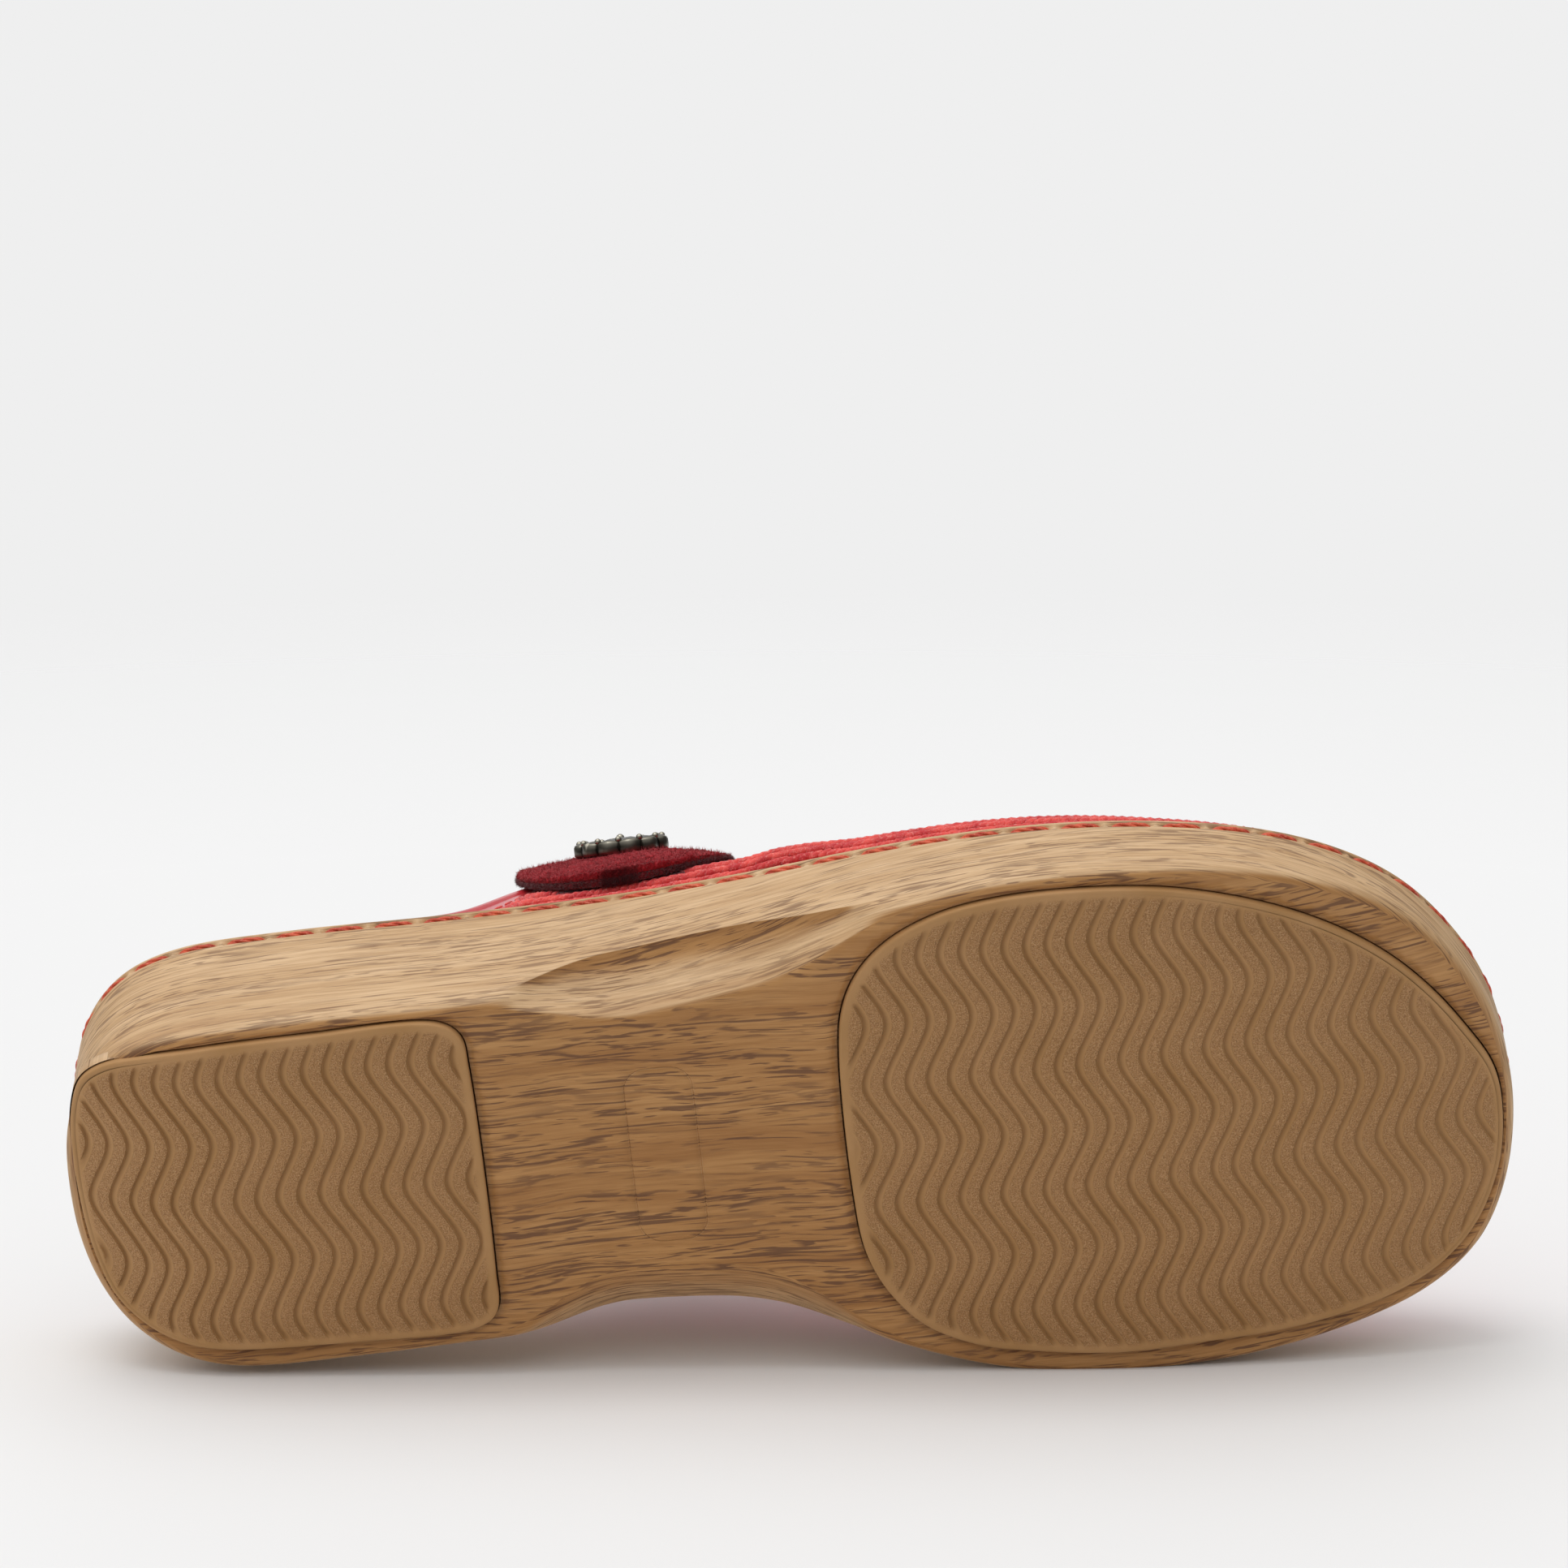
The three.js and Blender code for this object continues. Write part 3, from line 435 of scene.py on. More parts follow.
k = np.array([0, 0.06, 0.14, 0.24, 0.35, 0.46, 0.57, 0.68, 0.78, 0.87, 0.94, 0.98, 1])[:, None]
hollow = np.where(is_outer, 1 - (1 - k) ** 2.2, k ** 1.4)
blend_in = ramp(shape, 0, 0.4)
bevel_in = cut_width * ((1 - blend_in) * (1 - np.sin(k * math.pi / 2)) + blend_in * (1 - k))
bevel_up = cut_rise * ((1 - blend_in) * (1 - np.cos(k * math.pi / 2)) + blend_in * hollow)
bevel_z = underside(edge_x + edge_ix * bevel_in) * (1 - k) + underside(edge_x) * k + bevel_up

wall_top = GROOVE_MIDDLE + GROOVE_HALF
wall_k = np.array([0.015, 0.06, 0.2, 0.4, 0.6, 0.8, 0.97])[:, None]
wall_z = bevel_z[-1:] + (rim_height(edge_x) - wall_top - bevel_z[-1:]) * wall_k
wall_in = -RIM_FLARE * wall_k

# The groove is deep under each stitch and shallow at the bridges between them.
stitch_count = int(round(RIM_LENGTH / STITCH_PITCH))
stitch_phase = (np.arange(RIM_COUNT) / RIM_COUNT * stitch_count)[None, :] % 1
bridge = ramp(np.abs(stitch_phase - 0.5), 0.40, 0.47)
below = np.linspace(wall_top, GROOVE_MIDDLE - GROOVE_HALF, 13)[:, None]
groove_in = GROOVE_DEPTH * (0.5 + 0.5 * np.cos((below - GROOVE_MIDDLE) / GROOVE_HALF * math.pi)) ** 0.7
groove_in = -RIM_FLARE + groove_in * (1 - 0.85 * bridge)
groove_z = rim_height(edge_x) - below + 0 * edge_x

lip = np.array([(-0.5, 0.45), (-0.42, 0.2), (-0.25, 0.06), (0, 0), (1.2, 0), (2.3, 0.02), (2.46, 0.1),
                (2.5, 0.4), (2.5, 3)])
lip_in, lip_z = lip[:, :1] + 0 * edge_x, rim_height(edge_x) - lip[:, 1:]
floor_in = np.full((2, RIM_COUNT), CUP_WALL)
floor_in[1] = 8.0
floor_z = np.vstack([cup_floor(edge_x), cup_floor(edge_x)])
to_middle = np.clip(edge_x, -104, 92)

all_in = np.vstack([bevel_in, wall_in + 0 * edge_x, groove_in, lip_in, floor_in])
all_z = np.vstack([bevel_z, wall_z, groove_z, lip_z, floor_z])
shell = np.stack([edge_x + edge_ix * all_in, edge_y + edge_iy * all_in, all_z], -1)
middle_row = np.stack([to_middle, middle_line(to_middle), cup_floor(to_middle)], -1)
shell = np.concatenate([shell, middle_row])
shell_faces = grid(len(shell), RIM_COUNT, wrap=True)

rim_edge = shell[0, :, :2]
recess_wide = [tread_loop(t, grow=RECESS_GAP + RECESS_EDGE) for t in (HEEL_TREAD, FOREFOOT_TREAD)]
lines = [stadium(**ENGRAVED, grow=share * ENGRAVED_HALF) for share in (-1, -0.5, 0, 0.5, 1)]
MESH_STEP = 1.5  # between loose points on the underside
gx, gy = np.meshgrid(np.arange(-131, 131, MESH_STEP), np.arange(-52, 53, MESH_STEP))
gx = gx + MESH_STEP / 2 * (np.arange(gx.shape[0]) % 2)[:, None]
loose = np.stack([gx.ravel(), gy.ravel()], 1)
loose = loose[inside(loose, rim_edge)]
for loop in (rim_edge, *recess_wide, *recesses, *lines):
    loose = loose[distance_to(loose, loop) > 0.8]
for loop in recesses:
    loose = loose[~inside(loose, loop)]
flat, flat_faces = tile(rim_edge, recesses, lines, loose)
engraved = distance_to(flat, stadium(**ENGRAVED))
lowered = ENGRAVED_DEPTH * np.clip(1 - (engraved / ENGRAVED_HALF) ** 2, 0, 1)
near_recess = np.minimum(*(distance_to(flat, loop) for loop in recesses))
softened = RECESS_EDGE * np.clip(1 - near_recess / 0.6, 0, 1) ** 2
flat = np.column_stack([flat, underside(flat[:, 0]) + lowered + softened])

sole_parts = [(shell, shell_faces), (flat, flat_faces)]
for loop in recesses:
    high = underside(loop[:, 0]) + RECESS_EDGE
    rows = [np.column_stack([loop, high + d]) for d in (0, 0.3, 1.0, RECESS_DEPTH)]
    sole_parts.append((np.stack(rows), grid(4, len(loop), wrap=True)))
    verts, faces = tile(loop, [], [], np.zeros((0, 2)))
    sole_parts.append((np.column_stack([verts, underside(verts[:, 0]) + RECESS_EDGE + RECESS_DEPTH]), faces))

# Where the grain runs: along the foot on the underside, and round the wall along its length.
angle = 2 * math.pi * np.arange(RIM_COUNT) / RIM_COUNT
radius = RIM_LENGTH / (2 * math.pi)
turn = np.stack([radius * np.cos(angle), radius * np.sin(angle)], -1)
rise = np.vstack([all_z - all_in, all_z[-1:] - 40])
shell_grain = np.concatenate([np.broadcast_to(turn, (*rise.shape, 2)), rise[..., None]], -1)
corners = [shell_grain.reshape(-1, 3)[shell_faces.ravel()]]
for points, faces in sole_parts[1:]:
    points = points.reshape(-1, 3)[np.asarray(faces).ravel()]
    away = np.full(len(points), 400.0)  # so that the underside's grain is not the wall's
    corners.append(np.column_stack([points[:, 0], away, points[:, 1]]))

# Polyurethane foam skin with a printed oak grain: satin, with fine dark pores drawn out along it.
wood, tree = material("printed_wood_grain_polyurethane")
grain = node(tree, "Attribute", attribute_name="grain").outputs["Vector"]
drift = node(tree, "Mapping", {"Vector": grain, "Scale": (1 / 55, 1 / 55, 1 / 14)}).outputs[0]
sway = node(tree, "TexNoise", {"Vector": drift, "Scale": 1.0, "Detail": 2.0}).outputs["Color"]
sway = node(tree, "VectorMath", {0: sway, 1: (0.5, 0.5, 0.5)}, operation="SUBTRACT").outputs[0]
sway = node(tree, "VectorMath", {0: sway, 1: (6, 6, 5)}, operation="MULTIPLY").outputs[0]
wavy = node(tree, "VectorMath", {0: grain, 1: sway}, operation="ADD").outputs[0]


def streaks(length, width, detail=2.0, roughness=0.5):
    """Noise drawn out along the grain: length and width of a streak in millimetres."""
    scaled = node(tree, "Mapping", {"Vector": wavy, "Scale": (1 / length, 1 / length, 1 / width)})
    return node(tree, "TexNoise", {"Vector": scaled.outputs[0], "Scale": 1.0, "Detail": detail,
                                   "Roughness": roughness}).outputs["Fac"]


bands = node(tree, "ValToRGB", {"Fac": streaks(75, 5.5, 3.0)},
             [(0.30, rgb("#C29A6E")), (0.46, rgb("#D3AE82")), (0.58, rgb("#DDBA90")),
              (0.72, rgb("#CBA579"))]).outputs["Color"]
fibre = node(tree, "MapRange", {"Value": streaks(14, 0.55, 3.0, 0.6), "From Min": 0.36,
                                "From Max": 0.62, "To Min": 0.45}).outputs[0]
fibres = node(tree, "Mix", {0: fibre, 6: rgb("#AC8459"), 7: bands}, data_type="RGBA").outputs[2]

# Painted shade: the print is darkened where the surface faces down, so the underside is deeper in tone than
# the wall.
faces_down = node(tree, "SeparateXYZ", {0: node(tree, "TexCoord").outputs["Normal"]}).outputs["Z"]
down = node(tree, "MapRange", {"Value": faces_down, "From Min": -0.55, "From Max": -0.93},
            interpolation_type="SMOOTHSTEP").outputs[0]
deep = node(tree, "Mix", {0: 1.0, 6: fibres, 7: rgb("#E0C8A4")}, data_type="RGBA",
            blend_type="MULTIPLY").outputs[2]
print_with_painted_shade = node(tree, "Mix", {0: down, 6: fibres, 7: deep}, data_type="RGBA").outputs[2]
cluster = node(tree, "MapRange", {"Value": streaks(45, 6, 2.0), "From Min": 0.36,
                                  "From Max": 0.54}).outputs[0]
folded = node(tree, "Math", {0: streaks(34, 3.4, 1.5), 1: 4.0}, operation="MULTIPLY").outputs[0]
folded = node(tree, "Math", {0: folded, 1: 0.5}, operation="PINGPONG").outputs[0]
line = node(tree, "MapRange", {"Value": folded, "From Min": 0.15, "From Max": 0.05}).outputs[0]
broken = node(tree, "MapRange", {"Value": streaks(6, 0.8, 1.5), "From Min": 0.44,
                                 "From Max": 0.50}).outputs[0]
line = node(tree, "Math", {0: line, 1: broken}, operation="MULTIPLY").outputs[0]
pore = node(tree, "MapRange", {"Value": streaks(6, 0.5, 1.5), "From Min": 0.575,
                               "From Max": 0.64}).outputs[0]
dashes = node(tree, "Math", {0: line, 1: pore}, operation="MAXIMUM").outputs[0]
pores = node(tree, "Math", {0: dashes, 1: cluster}, operation="MULTIPLY").outputs[0]
long_pore = node(tree, "MapRange", {"Value": streaks(17, 0.7, 1.5), "From Min": 0.62,
                                    "From Max": 0.68}).outputs[0]
dark = node(tree, "Math", {0: pores, 1: long_pore}, operation="MAXIMUM").outputs[0]
# Painted shade: the dark lines are drawn stronger where the surface faces down.
depth = node(tree, "MapRange", {"Value": down, "To Min": 0.58, "To Max": 0.80}).outputs[0]
dark = node(tree, "Math", {0: dark, 1: depth}, operation="MULTIPLY").outputs[0]
colour = node(tree, "Mix", {0: dark, 6: print_with_painted_shade, 7: rgb("#674634")}, data_type="RGBA").outputs[2]
relief = node(tree, "Math", {0: fibre, 1: dark}, operation="SUBTRACT").outputs[0]
bump = node(tree, "Bump", {"Height": relief, "Strength": 0.5, "Distance": 0.12 * MM}).outputs[0]
gloss = node(tree, "MapRange", {"Value": dark, "To Min": 0.50, "To Max": 0.72}).outputs[0]
skin = node(tree, "BsdfPrincipled", {"Base Color": colour, "Roughness": gloss, "IOR": 1.46,
                                     "Normal": bump, "Specular IOR Level": 0.35})
node(tree, "OutputMaterial", {"Surface": skin.outputs[0]})

build("cup_sole_shell", sole_parts, wood, "wood_effect", replaces=["cup_sole"],
      grain=np.concatenate(corners))

# ---------------------------------------------------------------- treads
# Two rubber outsoles glued into recesses of the sole: wavy ribs with a sandy face inside a smooth
# rounded border. Each groove falls steeply on its heel side and climbs gently on its toe side.

RIB_PITCH = 3.87
WAVE_LENGTH, WAVE_HEIGHT = 25.04, 2.5
WAVE_BEND = 0.78  # 1 would make plain zigzags, near 0 a sine
RIB_BELOW_BORDER = 0.04
TREAD_BORDER, TREAD_THICKNESS = 1.0, 3.6
FIRST_RIB = 0.4
GROOVE = np.array([(0, 0), (0.08, 0.10), (0.18, 0.52), (0.28, 0.64), (0.40, 0.62), (0.70, 0.48),
                   (1.10, 0.26), (1.45, 0.09), (1.70, 0), (2.4, 0), (3.1, 0)])  # along x, depth


def wave(y, crest):
    """Shift of the ribs along x: rounded peaks with straight runs between them."""
    phase = np.sin(2 * math.pi * (y - crest) / WAVE_LENGTH + math.pi / 2) * WAVE_BEND
    return WAVE_HEIGHT * np.arcsin(phase) / math.asin(WAVE_BEND)


def groove_depth(q):
    at = (q - FIRST_RIB) % RIB_PITCH
    return np.interp(at, np.append(GROOVE[:, 0], RIB_PITCH), np.append(GROOVE[:, 1], 0))


def tread(name, stations, crest):
    """A tread: the ribbed face inside its border, the border's rounded edge, and a flat back."""
    outer = tread_loop(stations)
    into = inward(outer)
    ring = outer + into * TREAD_BORDER
    lip_ring = outer + into * (TREAD_BORDER + 0.4)
    columns = np.arange(math.floor(outer[:, 0].min() / RIB_PITCH) - 2,
                        math.ceil(outer[:, 0].max() / RIB_PITCH) + 2)
    q = (FIRST_RIB + columns[:, None] * RIB_PITCH + GROOVE[None, :, 0]).ravel()
    y = np.arange(outer[:, 1].min(), outer[:, 1].max(), 0.8)
    qq, yy = np.meshgrid(q, y)
    points = np.stack([qq.ravel() + wave(yy.ravel(), crest), yy.ravel()], 1)
    points = points[inside(points, lip_ring)]
    points = points[distance_to(points, lip_ring) > 0.12]

    def unbend(p):
        return np.stack([p[:, 0] - wave(p[:, 1], crest), p[:, 1]], 1)

    verts, faces = tile(unbend(ring), [], [unbend(lip_ring)], unbend(points))
    cut = groove_depth(verts[:, 0])
    depth = cut + RIB_BELOW_BORDER
    back = np.stack([verts[:, 0] + wave(verts[:, 1], crest), verts[:, 1]], 1)
    away = distance_to(back, outer)
    open_up = ramp(away, TREAD_BORDER + 0.1, TREAD_BORDER + 1.4)
    rib = ramp(away, TREAD_BORDER + 0.2, TREAD_BORDER + 1.0) * (cut < 0.06)
    face = np.column_stack([back, spring(back[:, 0]) + depth * open_up])
    rows = [(TREAD_BORDER, 0.0), (0.8, 0.0), (0.55, 0), (0.22, 0.07), (0.07, 0.22), (0, 0.5), (0, 1.4),
            (0, TREAD_THICKNESS)]  # inwards, up
    rim = np.stack([np.column_stack([outer + into * d, spring(outer[:, 0]) + h]) for d, h in rows])
    lid, lid_faces = tile(outer, [], [], np.zeros((0, 2)))
    lid = np.column_stack([lid, spring(lid[:, 0]) + TREAD_THICKNESS])
    parts = [(face, faces), (rim, grid(len(rows), len(outer), wrap=True)), (lid, lid_faces)]
    plain = np.zeros(rim.size // 3 + len(lid))
    sandy = np.concatenate([rib, plain])
    # Painted shade: how much the groove floors are darkened, growing with their depth.
    sunk = np.concatenate([open_up * np.clip((depth - 0.15) / 0.6, 0, 1), plain])
    build(f"{name}_rubber", parts, rubber, "tread_rubber", replaces=[name], sandy=sandy, sunk=sunk)


# Moulded rubber: dull, brown, with a sandy face of grit about 0.4 mm across on the ribs.
rubber, tree = material("moulded_brown_rubber")
at = node(tree, "TexCoord").outputs["Object"]
sandy = node(tree, "Attribute", attribute_name="sandy").outputs["Fac"]
sunk = node(tree, "Attribute", attribute_name="sunk").outputs["Fac"]
grit = node(tree, "TexNoise", {"Vector": at, "Scale": 4200, "Detail": 1.0, "Roughness": 0.6}).outputs["Fac"]
cloud = node(tree, "TexNoise", {"Vector": at, "Scale": 70, "Detail": 3.0}).outputs["Fac"]
base = node(tree, "ValToRGB", {"Fac": cloud}, [(0.35, rgb("#AD8251")), (0.65, rgb("#B68B5C"))])
speck = node(tree, "ValToRGB", {"Fac": grit}, [(0.34, rgb("#8A613C")), (0.50, rgb("#A87B4D")),
                                              (0.68, rgb("#C39B70"))]).outputs["Color"]
share = node(tree, "Math", {0: sandy, 1: 0.75}, operation="MULTIPLY").outputs[0]
face = node(tree, "Mix", {0: share, 6: base.outputs["Color"], 7: speck}, data_type="RGBA").outputs[2]
# Painted shade: the grooves are darkened towards their floors.
shade = node(tree, "Math", {0: sunk, 1: 0.50}, operation="MULTIPLY").outputs[0]
colour = node(tree, "Mix", {0: shade, 6: face, 7: rgb("#7A5633")}, data_type="RGBA").outputs[2]
height = node(tree, "Math", {0: grit, 1: sandy}, operation="MULTIPLY").outputs[0]
bump = node(tree, "Bump", {"Height": height, "Strength": 0.9, "Distance": 0.3 * MM}).outputs[0]
skin = node(tree, "BsdfPrincipled", {"Base Color": colour, "Roughness": 0.62, "IOR": 1.5,
                                     "Normal": bump, "Specular IOR Level": 0.3})
node(tree, "OutputMaterial", {"Surface": skin.outputs[0]})

tread("heel_tread", HEEL_TREAD, crest=-14.3)
tread("forefoot_tread", FOREFOOT_TREAD, crest=-0.8)

# ---------------------------------------------------------------- sidewall stitches
# One thick waxed thread sewn through the cup's wall and the upper, all round. Each stitch is a twist
# of three plies that dives into the wall at both ends.

STITCH_LENGTH = 8.3
THREAD_RADIUS = 0.62


def unit(v):
    return v / np.maximum(np.linalg.norm(v, axis=-1, keepdims=True), 1e-9)


PLIES, PLY_TURNS = 3, 1.1


def twist(centres, sides, ups, radius):
    """Twisted plies along many short paths. centres, sides and ups are (paths, steps, 3); radius is
    the thread's over the steps. Every ply tapers to a point at both ends."""
    paths, steps, _ = centres.shape
    k = np.linspace(0, 1, steps)
    spin = 2 * math.pi * (PLY_TURNS * k[None, :] + np.arange(PLIES)[:, None] / PLIES)
    lay = radius[None, :] * 0.48
    ply = radius[None, :] * 0.56
    offset = np.stack([lay * np.cos(spin), lay * np.sin(spin)], -1)
    round_angle = np.linspace(0, 2 * math.pi, 7, endpoint=False)
    around = np.stack([np.cos(round_angle), np.sin(round_angle)], -1)
    flat = offset[:, :, None, :] + ply[:, :, None, None] * around[None, None, :, :]
    points = (centres[:, None, :, None, :] + flat[None, ..., :1] * sides[:, None, :, None, :]
              + flat[None, ..., 1:] * ups[:, None, :, None, :])
    one = grid(steps, len(around), wrap=True)
    shift = np.arange(paths * PLIES)[:, None, None] * steps * len(around)
    return points.reshape(-1, 3), (one[None] + shift).reshape(-1, 4)


step = np.linspace(0, 1, 25)
starts = (np.arange(stitch_count) + 0.5) / stitch_count * RIM_COUNT
reach = STITCH_LENGTH / RIM_LENGTH * RIM_COUNT
t = starts[:, None] + (step[None, :] - 0.5) * reach
x, y, ix, iy = outline(t)
from_middle = 2 * step - 1
rng = np.random.default_rng(7)
wobble = rng.normal(0, 0.10, (stitch_count, 1))
depth = -0.18 + 1.0 * np.abs(from_middle)[None, :] ** 5 + wobble * 0.5
z = rim_height(x) - GROOVE_MIDDLE + wobble + 0.18 * from_middle[None, :]
centres = np.stack([x + ix * depth, y + iy * depth, z], -1)
along = unit(np.gradient(centres, axis=1))
sides = unit(np.stack([-ix, -iy, 0 * ix], -1))
ups = unit(np.cross(along, sides))
taper = THREAD_RADIUS * np.sqrt(np.clip(1 - from_middle ** 4, 0, 1)) * (1 - 0.35 * from_middle ** 2)
stitches = twist(centres, sides, ups, taper)

# Waxed polyester thread: fine fibres along each ply, orange red, lighter where it is rubbed.
thread, tree = material("waxed_orange_red_thread")
at = node(tree, "TexCoord").outputs["Object"]
fuzz = node(tree, "TexNoise", {"Vector": at, "Scale": 2600, "Detail": 3.0}).outputs["Fac"]
tone = node(tree, "TexNoise", {"Vector": at, "Scale": 500, "Detail": 2.0}).outputs["Fac"]
body = node(tree, "ValToRGB", {"Fac": tone},
            [(0.35, rgb("#B9391F")), (0.65, rgb("#E0603C"))]).outputs["Color"]
worn = node(tree, "MapRange", {"Value": fuzz, "From Min": 0.55, "From Max": 0.75, "To Max": 0.6}).outputs[0]
colour = node(tree, "Mix", {0: worn, 6: body, 7: rgb("#F09A78")}, data_type="RGBA").outputs[2]
bump = node(tree, "Bump", {"Height": fuzz, "Strength": 0.8, "Distance": 0.12 * MM}).outputs[0]
skin = node(tree, "BsdfPrincipled", {"Base Color": colour, "Roughness": 0.55, "Normal": bump,
                                     "Sheen Weight": 0.25, "Sheen Roughness": 0.4})
node(tree, "OutputMaterial", {"Surface": skin.outputs[0]})
build("sidewall_stitches", [stitches], thread, "thread", replaces=["sidewall_thread"])

# ---------------------------------------------------------------- leather upper
# Glazed red cowhide over the toe (the vamp) and along both sides (the quarters), closed to each
# other at a lapped seam and sewn down inside the cup. A low band, the rand, closes the heel.

LEATHER, LINING_GAP, LINING = 1.4, 0.3, 1.2
UPPER_INSET = CUP_WALL + 0.3
RIDGE_FRONT_X, RIDGE_FRONT_Z = 104.6, 48.0
TOE_CAP_START = 70.0
BULGE_HEEL, BULGE_WAIST, BULGE_TOE = -3.4, 5.3, 3.0  # how far the sides lean out, low down
SEAM_X, WING_END_X = 8.6, -91.0
LAP = 0.8  # how far the vamp stands over the quarters at the seam
SIDES = (("lateral", True), ("medial", False))


def ridge_over(x):
    """Where the side of the upper over a place on the rim reaches the top line."""
    share = (RIDGE_FRONT_X - TOE_CAP_START) / (RIM[TOE_TIP, 0] - TOE_CAP_START)
    x = np.where(x > TOE_CAP_START, TOE_CAP_START + (x - TOE_CAP_START) * share, x)
    x = x + 13 * bell(x, -16, 8, 14, 64)
    back = RIDGE_FRONT_X - x
    return x, 0.5 + 0.09 * (x + 30), RIDGE_FRONT_Z + 0.27 * back + 0.0003 * back ** 2


def on_upper(t, v, off=0.0):
    """Points on the upper. v runs from the rim, 0, to the top line, 1, and down inside the cup to -1.
    off moves them outwards from the leather's face."""
    t, v, off = np.broadcast_arrays(np.asarray(t, float), np.asarray(v, float), np.asarray(off, float))
    x, y, ix, iy = outline(t)
    rim = rim_height(x)
    top_x, top_y, top_z = ridge_over(x)
    foot_x, foot_y = x + ix * UPPER_INSET, y + iy * UPPER_INSET
    reach_x, reach_y, climb = top_x - foot_x, top_y - foot_y, top_z - rim
    reach = np.hypot(reach_x, reach_y)
    bulge = (BULGE_HEEL + (BULGE_WAIST - BULGE_HEEL) * ramp(x, -70, 10)
             + (BULGE_TOE - BULGE_WAIST) * ramp(x, 30, 90))
    c = np.clip(v, 0, 1)
    across = 3 * c * (1 - c) ** 2 * -bulge + 3 * c ** 2 * (1 - c) * 0.44 * reach + c ** 3 * reach
    up = climb * (3 * c * (1 - c) ** 2 * 0.34 + 3 * c ** 2 * (1 - c) + c ** 3)
    slope_a = 3 * ((1 - c) ** 2 * -bulge + 2 * c * (1 - c) * (0.44 * reach + bulge)
                   + c ** 2 * 0.56 * reach)
    slope_u = 3 * climb * ((1 - c) ** 2 * 0.34 + 2 * c * (1 - c) * 0.66)
    size = np.hypot(slope_a, slope_u)
    across, up = across - slope_u / size * off, up + slope_a / size * off
    above = np.stack([foot_x + reach_x / reach * across, foot_y + reach_y / reach * across, rim + up], -1)
    low = rim + (cup_floor(x) + 0.6 - rim) * np.clip(-v, 0, 1)
    within = np.stack([x + ix * (UPPER_INSET - off), y + iy * (UPPER_INSET - off), low], -1)
    return np.where((v < 0)[..., None], within, above)


def relax(points, rounds):
    """Evens out a grid of points, keeping its edges."""
    points = points.copy()
    for _ in range(rounds):
        points[1:-1, 1:-1] = (0.5 * points[1:-1, 1:-1] + 0.125 * (
            points[:-2, 1:-1] + points[2:, 1:-1] + points[1:-1, :-2] + points[1:-1, 2:]))
    return points


def skin_between(outer, inner, round_start=True, round_end=True):
    """A sheet of leather between two grids of points, with rounded edges: (points, faces)."""
    def rounded(a, b, before_a, before_b):
        middle = (a + b) / 2
        away = unit(middle - (before_a + before_b) / 2)
        return middle + away * np.linalg.norm(a - b, axis=-1, keepdims=True) * 0.35
    first = rounded(outer[:, 0], inner[:, 0], outer[:, 1], inner[:, 1])[:, None]
    last = rounded(outer[:, -1], inner[:, -1], outer[:, -2], inner[:, -2])[:, None]
    rings = np.concatenate([outer, last, inner[:, ::-1], first], 1)
    if round_start:
        start = rounded(outer[0], inner[0], outer[1], inner[1])
        cap = np.concatenate([start, start[-1:], start[::-1], start[:1]])
        rings = np.concatenate([cap[None], rings])
    if round_end:
        finish = rounded(outer[-1], inner[-1], outer[-2], inner[-2])
        cap = np.concatenate([finish, finish[-1:], finish[::-1], finish[:1]])
        rings = np.concatenate([rings, cap[None]])
    return rings.reshape(-1, 3), grid(*rings.shape[:2], wrap=True)


def topline(x):
    """How high the quarters stand at x, as a share of the way to the top line."""
    back = np.clip((SEAM_X - x) / (SEAM_X - WING_END_X), 0, 1)
    return 0.03 + 0.97 * (1 - back ** 0.65) * (1 - 0.6 * ramp(-x, 42, 60))


def lapped(x):
    """1 where the vamp lies on the quarters, 0 where it lies on the lining."""
    return 1 - ramp(x, SEAM_X - 4, SEAM_X + 9)


IN_CUP = [-1, -0.7, -0.4, -0.2, -0.08]  # rows of the leather that stand inside the cup


def toe_rows(seam_x):
    """Places along the foot from a seam to the toe's tip, closer together towards the tip."""
    return seam_x + (RIM[TOE_TIP, 0] - seam_x) * np.sin(np.linspace(0, 1, 130) * math.pi / 2) ** 1.05


def over_toe(seam_x, depth, lap=0.0):
    """Grid over the toe from a seam to the tip, up one side and down the other. lap lifts it where
    it lies on the quarters."""
    x = toe_rows(seam_x)
    lift = (lap * lapped(x) - depth)[:, None]
    climb = np.concatenate([IN_CUP, np.linspace(0, 1, 58)])[None, :]
    halves = []
    for _, outer in SIDES:
        t = side_at(x, outer)
        t[-1] = TOE_TIP
        halves.append(on_upper(t[:, None], climb, lift))
    points = np.concatenate([halves[0], halves[1][:, -2::-1]], 1)
    low = len(IN_CUP)
    points[:-1, low:-low] = relax(points, 14)[:-1, low:-low]
    return points


def along_side(outer, depth):
    """Grid of one quarter, from the seam to the end of its wing."""
    x = SEAM_X - 0.6 - (SEAM_X - WING_END_X) * np.linspace(0, 1, 120) ** 1.4
    climb = np.concatenate([IN_CUP, np.linspace(0, 0.985, 46)])
    v = np.where(climb[None, :] < 0, climb[None, :], climb[None, :] * topline(x)[:, None])
    return on_upper(side_at(x, outer)[:, None], v, -depth)


